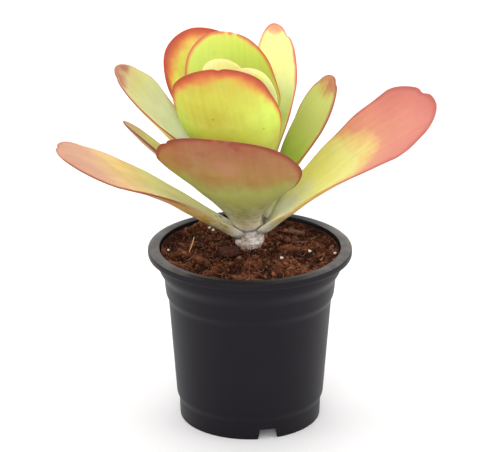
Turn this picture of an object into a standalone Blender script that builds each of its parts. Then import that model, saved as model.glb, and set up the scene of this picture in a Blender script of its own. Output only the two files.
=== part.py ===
"""A flapjack kalanchoe growing in a round nursery pot.

The plant is a short bare stem with its root below it and a rosette of thick paddle leaves above.
It stands in a bed of coir compost that fills a thin plastic pot. Lengths are in metres, +Z is up,
-Y is the front, and the origin is the centre of the pot's base.
"""

from collections import namedtuple
from math import cos, hypot, pi, radians, sin

import bmesh
import bpy
import numpy as np
from mathutils import Matrix, Vector

MM = 0.001

# Pot
POT_HEIGHT = 94.1 * MM
BAND_RADIUS = 44.6 * MM  # outside of the wall in the upper band
COLLAR_FLARE = 3.3 * MM  # how far the wall opens from the band up to the lip
LIP_REACH = 5.3 * MM  # how far the rolled lip stands out from the collar
LIP_DIP = 0.3 * MM  # how far the lip's inner edge lies below its crest
FOOT_RADIUS = 36.9 * MM  # outside of the wall at the ground
POT_WALL = 1.3 * MM
LIP_SKIRT = 4.2 * MM  # how far the lip's edge hangs below the crest
COLLAR_DEPTH = 10 * MM  # from the crest down to where the wall has opened
BAND_TOP = 18.6 * MM  # from the crest down to where the wall starts to open
BAND_DEPTH = 25 * MM  # from the crest down to the shoulder
SHOULDER_STEP = 1.5 * MM
SHOULDER_SLOPE = 3.0 * MM
PLINTH_HEIGHT = 10 * MM
PLINTH_STEP = 1.3 * MM
BAND_FLARE = 0.6 * MM
PLINTH_FLARE = 0.4 * MM
FLOOR_RISE = 6.0 * MM  # clear height under the raised floor
FOOT_WIDTH = 2.0 * MM
HUB_SHARE = 0.596  # flat disc in the middle of the base, as a share of the foot's radius
DRAIN_HOLES = 6
DRAIN_SHARE = 0.31  # a drain hole's radius, as a share of the channel's width
DRAIN_TURN = 0.43  # of the angle between two holes, so that none meets a notch
NOTCHES = 3
NOTCH_WIDTH = 11 * MM
NOTCH_TOP_WIDTH = 8.5 * MM
NOTCH_HEIGHT = 5.5 * MM
NOTCH_HEADING = -75.3  # degrees from +X
POT_STEPS = 48

# Compost
FIT_GAP = 0.3 * MM  # between pieces that rest against each other
SOIL_DROP = 3.5 * MM  # compost below the pot's crest, at the wall
SOIL_MOUND = 2.9 * MM  # extra height in the middle
SOIL_RINGS = 5

# Stem and root
STEM_BACK = 7 * MM  # the stem stands this far behind the pot's centre
STEM_RADIUS = 7.0 * MM
STEM_NECK_RADIUS = 6.0 * MM  # above the first leaves
STEM_TIP_RADIUS = 2.5 * MM
NECK_RISE = 2.6  # in leaf thicknesses above the lowest leaf
TIP_RISE = 9.1
BARE_STEM = 7.0 * MM  # from the compost to the lowest leaf
SCAR_HEIGHT = 0.35 * MM
SCAR_RINGS = ((0.0, 1), (0.25, -1), (0.5, 1), (0.75, -0.6), (1.0, 1.6))  # place down the bare stem, bulge
CROWN_RISES = (8.8, 6.0, 4.0, NECK_RISE, 1.0)
ROOT_DEPTH = 46 * MM
ROOT_TAPER = ((0.12, 0.92), (0.35, 0.68), (0.7, 0.4), (0.97, 0.16))  # share of the depth, of the radius
ROOT_CLEARANCE = 0.4 * MM
SIDE_ROOTS = 5
SIDE_ROOT_RADIUS = 1.6 * MM
SIDE_ROOT_SPREAD = 19 * MM
SIDE_ROOT_FALL = 24 * MM
SIDE_ROOT_START = 0.16  # share of the depth where the highest side roots leave
SIDE_ROOT_STAGGER = 0.05
SIDE_ROOT_POINTS = 6
STEM_STEPS = 16

# Leaves
LEAF_THICKNESS = 4.2 * MM
LEAF_GAP = 0.4 * MM  # between a leaf's base and the stem
BASE_WRAP = 45  # degrees of arc to each side of the midrib where a leaf clasps the stem
EDGE_ROUNDNESS = 2.5
TIP_THINNING = 0.4
TIP_CLOSING = 8
KEEL_PEAK = 0.17
KEEL_END = 0.5
BLADE_SECTIONS = 12
BLADE_COLUMNS = 7

# Headings, pitches, twists and cups are in degrees. A pair is a value at the base and one at the tip.
# rise is the base's height above the lowest leaf's, in leaf thicknesses. length, width, base and keel
# are in millimetres, broadest is the share of the length where the blade is widest, fullness is how
# square its rounded tip is, and keel is how far the underside bulges under the midrib near the base.
Leaf = namedtuple(
    "Leaf",
    "name heading swing rise pitch length width base broadest fullness cup twist keel colour",
)
SALMON, BRICK, OLIVE = (0.84, 0.42, 0.26), (0.45, 0.17, 0.10), (0.62, 0.52, 0.14)
GREEN, PALE_GREEN, LIME = (0.46, 0.54, 0.14), (0.62, 0.66, 0.32), (0.55, 0.74, 0.14)
CREAM, ORANGE = (0.82, 0.80, 0.40), (0.80, 0.42, 0.08)
LEAVES = (
    Leaf("leaf_left_low", 197, 20, -0.2, (35, 26), 114, 48.5, 17, 0.78, 1.8, 8, (0, -14), 1, SALMON),
    Leaf("leaf_right_low", -4, -13, 0.3, (44, 35.5), 114, 52.5, 23, 0.77, 1.7, 21, (10, 34), 0.3, SALMON),
    Leaf("leaf_front_low", -106, 4, 1.05, (46, 58), 82, 76, 17, 0.68, 2.3, 12, (-1, -2), 0.5, BRICK),
    Leaf("leaf_back_low", 106, 0, 0.8, (38, 40), 84, 47, 15, 0.62, 2.3, 25, (-4, -1), 0.5, OLIVE),
    Leaf("leaf_left_rear", 176, 0, 1.95, (38, 43), 76, 24, 12.5, 0.65, 2.3, 19, (6, 10), 0, OLIVE),
    Leaf("leaf_right_mid", 32, -6, 1.8, (53, 65), 80, 33, 14, 0.64, 2.0, 10, (-20, 3), 0.5, GREEN),
    Leaf("leaf_left_mid", 190, -5, 3.3, (51, 52), 99, 47, 16, 0.68, 1.7, 23, (8, -17), 0, PALE_GREEN),
    Leaf("leaf_back_right", 73, 14, 3.05, (46, 54), 101, 27, 12.5, 0.65, 2.0, 43, (-17, 32), 0, CREAM),
    Leaf("leaf_back_left", 123, -1, 4.5, (49, 64), 91, 59, 15, 0.65, 1.8, 48, (10, -15), 0, ORANGE),
    Leaf("leaf_front_upright", -112, -11, 4.6, (55, 73), 91, 64, 14, 0.54, 2.0, 59, (0, 29), 0, OLIVE),
    Leaf("leaf_back_upright", 112, -14, 6.0, (48, 93), 79, 51.5, 13, 0.55, 2.7, 33, (18, -34), 0, LIME),
    Leaf("leaf_inner_left", 166, -5, 7.6, (67, 84), 60.5, 42.5, 11.5, 0.67, 2.1, 50, (0, -20), 0, CREAM),
    Leaf("leaf_inner_front", -97, 6, 6.25, (60, 84), 75.5, 40.5, 13, 0.60, 1.9, 50, (11, 11), 0, CREAM),
    Leaf("bud_leaf_right", 15, 0, 7.2, (80, 92), 47, 28, 11, 0.64, 2.2, 50, (0, 0), 0, CREAM),
    Leaf("bud_leaf_left", -112, 0, 8.8, (84, 89), 44, 18, 6.5, 0.66, 2.3, 50, (-6, -2), 0, CREAM),
)

# Loose pieces on the compost: x and y as shares of its radius, then size in millimetres
GRAINS = (
    (0.352, -0.356, 1.3),
    (0.665, -0.101, 1.1),
    (0.945, -0.118, 1.0),
    (-0.459, 0.650, 1.0),
    (-0.417, 0.558, 1.1),
    (-0.910, -0.024, 0.9),
)
BARK_PIECES = (
    ("bark_lump", -0.225, -0.262, (9.0, 6.5, 4.6), 25, (0.035, 0.016, 0.012)),
    ("bark_flake", 0.524, 0.483, (9.5, 3.4, 1.5), -20, (0.16, 0.06, 0.035)),
)
BARK_TAPER = 0.8  # of the width at the narrow end
BARK_TOP = 0.7  # of the size at the top
STRAW_POINTS = ((-0.633, 0.333), (-0.642, 0.225), (-0.644, 0.107), (-0.657, 0.0), (-0.674, -0.128))
STRAW_RADIUS = 0.45 * MM

# Worked out from the sizes above
COLLAR_RADIUS = BAND_RADIUS + COLLAR_FLARE
RIM_RADIUS = COLLAR_RADIUS + LIP_REACH
HUB_RADIUS = HUB_SHARE * FOOT_RADIUS
DRAIN_RADIUS = DRAIN_SHARE * (FOOT_RADIUS - FOOT_WIDTH - HUB_RADIUS)
SHOULDER_Z = POT_HEIGHT - BAND_DEPTH
FLOOR_TOP = FLOOR_RISE + POT_WALL
SOIL_EDGE_Z = POT_HEIGHT - SOIL_DROP
SOIL_TOP = SOIL_EDGE_Z + SOIL_MOUND
CROWN_Z = SOIL_TOP + BARE_STEM
OUTER_WALL = (
    (FOOT_RADIUS, 0.0),
    (FOOT_RADIUS + PLINTH_FLARE, PLINTH_HEIGHT),
    (FOOT_RADIUS + PLINTH_FLARE + PLINTH_STEP, PLINTH_HEIGHT + SHOULDER_SLOPE),
    (BAND_RADIUS - BAND_FLARE - SHOULDER_STEP, SHOULDER_Z - SHOULDER_SLOPE),
    (BAND_RADIUS - BAND_FLARE, SHOULDER_Z),
    (BAND_RADIUS, POT_HEIGHT - BAND_TOP),
    (COLLAR_RADIUS, POT_HEIGHT - COLLAR_DEPTH),
    (COLLAR_RADIUS, POT_HEIGHT - LIP_SKIRT),
)


def clear_scene():
    for obj in list(bpy.data.objects):
        bpy.data.objects.remove(obj)


def new_collection(name):
    collection = bpy.data.collections.new(name)
    bpy.context.scene.collection.children.link(collection)
    return collection


def finish_of(name, colour, roughness):
    """A plain opaque material."""
    material = bpy.data.materials.new(name)
    material.use_nodes = True
    shader = material.node_tree.nodes["Principled BSDF"]
    shader.inputs["Base Color"].default_value = (*colour, 1.0)
    shader.inputs["Roughness"].default_value = roughness
    shader.inputs["Metallic"].default_value = 0.0
    return material


def add_part(name, mesh, colour, roughness):
    """An object of the model, with its own material."""
    obj = bpy.data.objects.new(name, mesh)
    obj.data.materials.append(finish_of(name, colour, roughness))
    parts.objects.link(obj)
    return obj


def add_cutter(name, mesh):
    obj = bpy.data.objects.new(name, mesh)
    obj.hide_render = True
    obj.display_type = "WIRE"
    cutters.objects.link(obj)
    return obj


def cut(obj, cutter, operation="DIFFERENCE"):
    modifier = obj.modifiers.new(f"{operation.lower()}_{cutter.name}", "BOOLEAN")
    modifier.operation = operation
    modifier.object = cutter


def mesh_from(name, bm):
    mesh = bpy.data.meshes.new(name)
    bm.to_mesh(mesh)
    bm.free()
    return mesh


def profile_mesh(name, points):
    """An open outline of (radius, height) points in the XZ plane."""
    bm = bmesh.new()
    corners = [bm.verts.new((radius, 0.0, height)) for radius, height in points]
    for first, second in zip(corners, corners[1:]):
        bm.edges.new((first, second))
    return mesh_from(name, bm)


def turn(obj, steps):
    """Turns the object's outline once about +Z."""
    screw = obj.modifiers.new("turn", "SCREW")
    screw.axis = "Z"
    screw.angle = 2 * pi
    screw.steps = screw.render_steps = steps
    screw.use_merge_vertices = True
    screw.merge_threshold = 0.00001
    screw.use_smooth_shade = True


def wall_radius(height):
    """Outer radius of the pot's wall at a height."""
    radii, heights = zip(*OUTER_WALL)
    return float(np.interp(height, heights, radii))


def inner_radius(height):
    return wall_radius(height) - POT_WALL


# Pot


def pot_outline():
    """The pot's section, from the inside of the hub up, over the lip and down to the ground."""
    inside = [(0.0, POT_WALL), (HUB_RADIUS - POT_WALL, POT_WALL), (HUB_RADIUS - POT_WALL, FLOOR_TOP)]
    inside.append((inner_radius(FLOOR_TOP), FLOOR_TOP))
    inside += [(inner_radius(z), z) for _, z in OUTER_WALL[1:-1]]
    skirt_z = POT_HEIGHT - LIP_SKIRT
    inner, collar, rim = COLLAR_RADIUS - POT_WALL, COLLAR_RADIUS, RIM_RADIUS
    lip = [
        (inner, skirt_z),
        (inner + 0.1 * LIP_REACH, POT_HEIGHT - LIP_DIP),
        (inner + 0.45 * LIP_REACH, POT_HEIGHT - 0.4 * LIP_DIP),
        (rim - 0.5 * LIP_REACH, POT_HEIGHT),
        (rim - 0.2 * POT_WALL, POT_HEIGHT - 0.2 * LIP_SKIRT),
        (rim, POT_HEIGHT - 0.5 * LIP_SKIRT),
        (rim, skirt_z),
        (rim - POT_WALL, skirt_z),
        (rim - POT_WALL, POT_HEIGHT - 0.2 * LIP_SKIRT - POT_WALL),
        (rim - 0.5 * LIP_REACH, POT_HEIGHT - 0.1 * LIP_DIP - POT_WALL),
        (collar + 0.1 * LIP_REACH, POT_HEIGHT - LIP_DIP - 0.8 * POT_WALL),
        (collar, skirt_z),
    ]
    outside = [(r, z) for r, z in reversed(OUTER_WALL[:-1])]
    foot_inside = FOOT_RADIUS - FOOT_WIDTH
    underside = [(foot_inside, 0.0), (foot_inside, FLOOR_RISE), (HUB_RADIUS, FLOOR_RISE)]
    underside += [(HUB_RADIUS, 0.0), (0.0, 0.0)]
    return inside + lip + outside + underside


def notch_mesh():
    """A wedge, wider at the ground, that cuts one drainage notch out of the foot at +X."""
    depth = 2 * FOOT_WIDTH
    below = 1 * MM
    slope = (NOTCH_WIDTH - NOTCH_TOP_WIDTH) / NOTCH_HEIGHT
    bm = bmesh.new()
    bmesh.ops.create_cube(bm, size=1.0)
    for vert in bm.verts:
        x, y, z = vert.co
        height = NOTCH_HEIGHT if z > 0 else -below
        width = NOTCH_WIDTH - slope * height
        vert.co = (FOOT_RADIUS - FOOT_WIDTH / 2 + depth * x, width * y, height)
    return mesh_from("notch", bm)


def drain_mesh():
    bm = bmesh.new()
    bmesh.ops.create_cone(
        bm,
        cap_ends=True,
        segments=12,
        radius1=DRAIN_RADIUS,
        radius2=DRAIN_RADIUS,
        depth=4 * POT_WALL,
    )
    return mesh_from("drain", bm)


def build_pot():
    pot = add_part("pot", profile_mesh("pot", pot_outline()), (0.02, 0.019, 0.023), 0.42)
    turn(pot, POT_STEPS)
    notch, drain = notch_mesh(), drain_mesh()
    for number in range(NOTCHES):
        cutter = add_cutter(f"notch_cutter_{number + 1}", notch)
        cutter.rotation_euler.z = radians(NOTCH_HEADING + number * 360 / NOTCHES)
        cut(pot, cutter)
    ring = (HUB_RADIUS + FOOT_RADIUS - FOOT_WIDTH) / 2
    for number in range(DRAIN_HOLES):
        heading = 2 * pi * (number + DRAIN_TURN) / DRAIN_HOLES
        cutter = add_cutter(f"drain_cutter_{number + 1}", drain)
        cutter.location = (ring * cos(heading), ring * sin(heading), FLOOR_RISE + POT_WALL / 2)
        cut(pot, cutter)


# Compost


def soil_height(x, y):
    """Height of the compost's mounded top at a place."""
    share = min(hypot(x, y) / inner_radius(SOIL_EDGE_Z), 1.0)
    return SOIL_EDGE_Z + SOIL_MOUND * 0.5 * (1 + cos(pi * share))


def on_compost(x_share, y_share):
    """A place on the compost's top, from shares of its radius."""
    reach = inner_radius(SOIL_EDGE_Z)
    x, y = x_share * reach, y_share * reach
    return Vector((x, y, soil_height(x, y)))


def soil_outline():
    edge = inner_radius(SOIL_EDGE_Z) - FIT_GAP
    top = [(edge * i / SOIL_RINGS, soil_height(edge * i / SOIL_RINGS, 0)) for i in range(SOIL_RINGS + 1)]
    side = [(inner_radius(z) - FIT_GAP, z) for _, z in reversed(OUTER_WALL[1:-1])]
    floor = FLOOR_TOP + FIT_GAP
    hub = HUB_RADIUS - POT_WALL - FIT_GAP
    bottom = [(inner_radius(floor) - FIT_GAP, floor), (hub, floor)]
    bottom += [(hub, POT_WALL + FIT_GAP), (0.0, POT_WALL + FIT_GAP)]
    return top + side + bottom


def build_soil():
    soil = add_part("soil", profile_mesh("soil", soil_outline()), (0.08, 0.03, 0.016), 0.95)
    turn(soil, POT_STEPS)
    cut(soil, build_stem_shape("root_space", ROOT_CLEARANCE, add_cutter))


# Stem and root


def stem_radius(height):
    """Radius of the stem where leaves are attached."""
    rises = (0.0, NECK_RISE * LEAF_THICKNESS, TIP_RISE * LEAF_THICKNESS)
    radii = (STEM_RADIUS, STEM_NECK_RADIUS, STEM_TIP_RADIUS)
    return float(np.interp(height - CROWN_Z, rises, radii))


def stem_outline(grow):
    """The stem's section from its tip down to the end of the root, thickened by grow."""
    tip_z = CROWN_Z + TIP_RISE * LEAF_THICKNESS
    tip = [(0.0, tip_z + grow), (0.6 * STEM_TIP_RADIUS + grow, tip_z - 0.1 * STEM_TIP_RADIUS)]
    crown = [
        (stem_radius(CROWN_Z + rise * LEAF_THICKNESS) + grow, CROWN_Z + rise * LEAF_THICKNESS)
        for rise in CROWN_RISES
    ]
    scars = [
        (STEM_RADIUS + grow + bulge * SCAR_HEIGHT, CROWN_Z - share * BARE_STEM)
        for share, bulge in SCAR_RINGS
    ]
    root = [
        (STEM_RADIUS * width + grow, SOIL_TOP - share * ROOT_DEPTH)
        for share, width in ROOT_TAPER
    ]
    return tip + crown + scars + root + [(0.0, SOIL_TOP - ROOT_DEPTH - grow)]


def side_root_mesh(name, heading, start_z, grow):
    """One side root: a tapering tube that bends down and away from the main root."""
    curve = bpy.data.curves.new(name, "CURVE")
    curve.dimensions = "3D"
    curve.bevel_depth = SIDE_ROOT_RADIUS + grow
    curve.bevel_resolution = 1
    curve.use_fill_caps = True
    spline = curve.splines.new("POLY")
    spline.points.add(SIDE_ROOT_POINTS - 1)
    for index, point in enumerate(spline.points):
        share = index / (SIDE_ROOT_POINTS - 1)
        reach = SIDE_ROOT_SPREAD * sin(share * pi / 2)
        z = start_z - (SIDE_ROOT_FALL + grow) * (1 - cos(share * pi / 2))
        point.co = (reach * cos(heading), reach * sin(heading), z, 1.0)
        point.radius = 1.0 - 0.5 * share
    guide = bpy.data.objects.new(name, curve)
    cutters.objects.link(guide)
    graph = bpy.context.evaluated_depsgraph_get()
    mesh = bpy.data.meshes.new_from_object(guide.evaluated_get(graph))
    bpy.data.objects.remove(guide)
    bm = bmesh.new()
    bm.from_mesh(mesh)
    bmesh.ops.remove_doubles(bm, verts=bm.verts, dist=0.00001)
    bm.to_mesh(mesh)
    bm.free()
    return mesh


def build_stem_shape(name, grow, add):
    """The stem with its root and side roots, as one body made by add(name, mesh)."""
    stem = add(name, profile_mesh(name, stem_outline(grow)))
    stem.location = (0.0, STEM_BACK, 0.0)
    turn(stem, STEM_STEPS)
    for number in range(SIDE_ROOTS):
        heading = 2 * pi * (number + 0.3) / SIDE_ROOTS
        start_z = SOIL_TOP - ROOT_DEPTH * (SIDE_ROOT_START + SIDE_ROOT_STAGGER * (number % 3))
        root = add_cutter(f"{name}_side_{number + 1}", side_root_mesh(name, heading, start_z, grow))
        root.location = stem.location
        cut(stem, root, "UNION")
    return stem


def build_stem():
    def add(name, mesh):
        return add_part(name, mesh, (0.42, 0.35, 0.28), 0.85)

    build_stem_shape("stem", 0.0, add)


# Leaves


def blade_share(leaf, v):
    """The blade's width at a share v of its length, as a share of its full width."""
    base = leaf.base / leaf.width
    if v < leaf.broadest:
        return base + (1 - base) * (0.5 - 0.5 * cos(pi * v / leaf.broadest))
    toward_tip = (v - leaf.broadest) / (1 - leaf.broadest)
    return max(0.0, 1 - toward_tip**leaf.fullness) ** (1 / leaf.fullness)


def keel_share(v):
    """How much of its full depth the keel has at a share v of the blade's length."""
    if v < KEEL_PEAK:
        return 0.5 + 0.5 * v / KEEL_PEAK
    return cos(pi / 2 * min((v - KEEL_PEAK) / (KEEL_END - KEEL_PEAK), 1.0)) ** 2


def directions(leaf, v):
    """Unit vectors along, out of and across the blade at a share v of its length."""
    pitch = radians(leaf.pitch[0] + (leaf.pitch[1] - leaf.pitch[0]) * v)
    heading = radians(leaf.heading + leaf.swing * v)
    along = Vector((cos(pitch) * cos(heading), cos(pitch) * sin(heading), sin(pitch)))
    out = Vector((-sin(pitch) * cos(heading), -sin(pitch) * sin(heading), cos(pitch)))
    twist = radians(leaf.twist[0] + (leaf.twist[1] - leaf.twist[0]) * v) * min(v / 0.15, 1.0)
    turned = Matrix.Rotation(twist, 3, along)
    return along, turned @ out, turned @ along.cross(out)


def midrib(leaf, v):
    """The middle of the blade at a share v of its length."""
    steps = 40
    base_z = CROWN_Z + leaf.rise * LEAF_THICKNESS
    pitch, heading = radians(leaf.pitch[0]), radians(leaf.heading)
    reach = stem_radius(base_z) + LEAF_GAP + 0.5 * LEAF_THICKNESS * sin(pitch)
    point = Vector((reach * cos(heading), STEM_BACK + reach * sin(heading), base_z))
    for step in range(steps):
        point += directions(leaf, v * (step + 0.5) / steps)[0] * (leaf.length * MM * v / steps)
    return point


def blade_section(leaf, v):
    """A ring of points round the blade at a share v of its length, cupped about the midrib."""
    centre = midrib(leaf, v)
    _, out, across = directions(leaf, v)
    toward = min(v / leaf.broadest, 1.0)
    wrap = radians(BASE_WRAP + (leaf.cup - BASE_WRAP) * toward)
    bend = leaf.width * MM / 2 * blade_share(leaf, min(v, leaf.broadest)) / wrap
    half_width = leaf.width * MM / 2 * blade_share(leaf, v)
    half = LEAF_THICKNESS / 2 * (1 - TIP_THINNING * v) * (1 - v**TIP_CLOSING) ** 0.5
    keel = leaf.keel * MM * keel_share(v)
    ring = []
    for side in (1, -1):
        for column in range(BLADE_COLUMNS + 1):
            u = side * cos(pi * column / (BLADE_COLUMNS + 1))
            angle = u * half_width / bend
            rise = side * half * (1 - abs(u) ** EDGE_ROUNDNESS) ** 0.5
            if side < 0:
                rise -= keel * (1 - u * u)
            normal = out * cos(angle) - across * sin(angle)
            ring.append(
                centre + across * (bend * sin(angle)) + out * (bend * (1 - cos(angle))) + normal * rise
            )
    return ring


def leaf_mesh(leaf):
    """A thick paddle blade, lofted through its sections from the stem to the tip."""
    bm = bmesh.new()
    rings = []
    for number in range(BLADE_SECTIONS):
        v = sin(pi / 2 * number / BLADE_SECTIONS) ** 0.9
        rings.append([bm.verts.new(point) for point in blade_section(leaf, v)])
    tip = bm.verts.new(midrib(leaf, 1.0))
    count = len(rings[0])
    for lower, upper in zip(rings, rings[1:]):
        for i in range(count):
            j = (i + 1) % count
            bm.faces.new((lower[i], lower[j], upper[j], upper[i]))
    for i in range(count):
        bm.faces.new((rings[-1][i], rings[-1][(i + 1) % count], tip))
    bm.faces.new(rings[0])
    bmesh.ops.recalc_face_normals(bm, faces=bm.faces)
    return mesh_from(leaf.name, bm)


def build_leaves():
    for leaf in LEAVES:
        obj = add_part(leaf.name, leaf_mesh(leaf), leaf.colour, 0.5)
        obj.data.shade_smooth()
        obj.data.set_sharp_from_angle(angle=radians(60))


# Loose pieces on the compost


def build_grains():
    """Perlite: small rough white lumps."""
    rng = np.random.default_rng(3)
    for number, (x, y, size) in enumerate(GRAINS):
        bm = bmesh.new()
        bmesh.ops.create_icosphere(bm, subdivisions=2, radius=size * MM)
        for vert in bm.verts:
            vert.co *= rng.uniform(0.82, 1.08)
        grain = add_part(f"perlite_{number + 1}", mesh_from("perlite", bm), (0.8, 0.77, 0.7), 0.9)
        grain.location = on_compost(x, y) + Vector((0, 0, FIT_GAP + 1.1 * size * MM))


def build_bark():
    for name, x, y, size, heading, colour in BARK_PIECES:
        bm = bmesh.new()
        bmesh.ops.create_cube(bm, size=1.0)
        for vert in bm.verts:
            taper = BARK_TAPER if vert.co.x > 0 else 1.0
            top = BARK_TOP if vert.co.z > 0 else 1.0
            vert.co.y *= taper * top
            vert.co.x *= top
            vert.co = Vector([share * side * MM for share, side in zip(vert.co, size)])
        bark = add_part(name, mesh_from(name, bm), colour, 0.9)
        bevel = bark.modifiers.new("rounding", "BEVEL")
        bevel.width = 0.25 * size[2] * MM
        bevel.segments = 2
        rest = size[2] * MM / 2 + 2 * FIT_GAP
        bark.location = on_compost(x, y) + Vector((0, 0, rest))
        bark.rotation_euler.z = radians(heading)


def build_straw():
    """A pale straw that lies on the compost."""
    curve = bpy.data.curves.new("straw", "CURVE")
    curve.dimensions = "3D"
    curve.bevel_depth = STRAW_RADIUS
    curve.bevel_resolution = 1
    curve.use_fill_caps = True
    spline = curve.splines.new("POLY")
    spline.points.add(len(STRAW_POINTS) - 1)
    for point, (x, y) in zip(spline.points, STRAW_POINTS):
        point.co = (*(on_compost(x, y) + Vector((0, 0, FIT_GAP + 1.5 * STRAW_RADIUS))), 1.0)
    straw = add_part("straw", curve, (0.62, 0.42, 0.24), 0.8)
    straw.modifiers.new("weld", "WELD").merge_threshold = 0.00001


clear_scene()
parts = new_collection("potted_kalanchoe")
cutters = new_collection("cutters")
cutters.hide_render = True
build_pot()
build_soil()
build_stem()
build_leaves()
build_grains()
build_bark()
build_straw()
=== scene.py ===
"""A flapjack kalanchoe in a round nursery pot.

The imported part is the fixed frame, and each visible piece is built round it: the moulded pot, the
compost with its crumbs and fibres, the scarred stem and the thick paddle leaves.
"""

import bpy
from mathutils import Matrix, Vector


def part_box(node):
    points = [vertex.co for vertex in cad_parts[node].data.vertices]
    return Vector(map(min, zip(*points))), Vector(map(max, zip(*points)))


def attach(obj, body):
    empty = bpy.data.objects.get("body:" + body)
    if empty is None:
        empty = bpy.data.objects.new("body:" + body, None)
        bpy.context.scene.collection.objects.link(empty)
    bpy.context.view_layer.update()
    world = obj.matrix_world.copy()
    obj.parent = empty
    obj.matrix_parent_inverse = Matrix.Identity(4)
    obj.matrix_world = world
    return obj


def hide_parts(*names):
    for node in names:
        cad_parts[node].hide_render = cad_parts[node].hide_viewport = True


bl_info = {
    "name": "Potted kalanchoe",
    "version": (1, 0, 0),
    "blender": (4, 5, 0),
    "location": "View3D > Sidebar > Kalanchoe",
    "description": "Builds a flapjack kalanchoe growing in a nursery pot",
    "category": "Add Mesh",
}

from collections import namedtuple
from contextlib import contextmanager
from math import cos, hypot, pi, radians, sin

import bpy
import numpy as np
from bpy.props import FloatProperty, FloatVectorProperty, IntProperty, PointerProperty
from mathutils import Matrix, Vector
from mathutils.bvhtree import BVHTree

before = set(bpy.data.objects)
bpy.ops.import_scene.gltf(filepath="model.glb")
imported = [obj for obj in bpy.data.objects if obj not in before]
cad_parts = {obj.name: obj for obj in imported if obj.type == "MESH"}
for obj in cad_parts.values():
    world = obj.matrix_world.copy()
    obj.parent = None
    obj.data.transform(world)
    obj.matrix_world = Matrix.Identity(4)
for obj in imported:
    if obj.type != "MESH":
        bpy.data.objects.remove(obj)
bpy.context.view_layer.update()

MM = 0.001
POT_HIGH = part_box("pot")[1]
SOIL_LOW, SOIL_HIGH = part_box("soil")
STEM_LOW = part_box("stem")[0]


def srgb(code):
    """A linear colour with full alpha from a colour code such as "#c5b48a"."""
    parts = [int(code[i : i + 2], 16) / 255 for i in (1, 3, 5)]
    return (*[c / 12.92 if c <= 0.04045 else ((c + 0.055) / 1.055) ** 2.4 for c in parts], 1.0)


# Sizes and colours that a user may change


class PotSettings(bpy.types.PropertyGroup):
    height: FloatProperty(
        name="Height", description="From the ground to the lip's crest",
        default=POT_HIGH.z, subtype="DISTANCE",
    )
    rim_radius: FloatProperty(
        name="Rim radius", description="Outer edge of the rolled lip", default=POT_HIGH.x, subtype="DISTANCE"
    )
    band_radius: FloatProperty(
        name="Band radius", description="Outside of the wall's upper band",
        default=44.6 * MM, subtype="DISTANCE",
    )
    collar_radius: FloatProperty(
        name="Collar radius", description="Outside of the wall under the lip",
        default=47.9 * MM, subtype="DISTANCE",
    )
    foot_radius: FloatProperty(
        name="Foot radius", description="Outside of the wall at the ground",
        default=36.9 * MM, subtype="DISTANCE",
    )
    wall: FloatProperty(
        name="Wall", description="Thickness of the plastic", default=1.3 * MM, subtype="DISTANCE"
    )
    colour: FloatVectorProperty(
        name="Colour", description="Colour of the plastic", default=(0.0042, 0.0036, 0.0052), subtype="COLOR"
    )
    roughness: FloatProperty(name="Roughness", description="Satin finish", default=0.45, subtype="FACTOR")


class CompostSettings(bpy.types.PropertyGroup):
    edge_drop: FloatProperty(
        name="Edge drop", description="Compost below the lip's crest", default=3.5 * MM, subtype="DISTANCE"
    )
    mound: FloatProperty(
        name="Mound", description="Extra height in the middle", default=2.9 * MM, subtype="DISTANCE"
    )
    lumps: IntProperty(name="Lumps", description="Larger crumbs", default=420)
    crumbs: IntProperty(name="Crumbs", description="Small crumbs", default=3600)
    fibres: IntProperty(name="Fibres", description="Coir fibres", default=620)


class StemSettings(bpy.types.PropertyGroup):
    radius: FloatProperty(
        name="Radius", description="Bare stem above the compost", default=7.0 * MM, subtype="DISTANCE"
    )
    back: FloatProperty(
        name="Set back", description="How far the stem stands behind the pot's centre",
        default=7.0 * MM, subtype="DISTANCE",
    )


class LeafSettings(bpy.types.PropertyGroup):
    thickness: FloatProperty(
        name="Thickness", description="Of a leaf at its middle", default=4.2 * MM, subtype="DISTANCE"
    )
    crown: FloatProperty(
        name="Crown height", description="Where the lowest leaves leave the stem",
        default=100.5 * MM, subtype="DISTANCE",
    )


class StageSettings(bpy.types.PropertyGroup):
    floor: FloatVectorProperty(
        name="Floor", description="Colour of the floor", default=(0.88, 0.875, 0.875), subtype="COLOR"
    )
    glow: FloatProperty(name="Glow", description="Light from below the floor", default=0.05, subtype="FACTOR")
    sky: FloatProperty(name="Sky", description="Strength of the even light", default=0.8, subtype="FACTOR")


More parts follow.
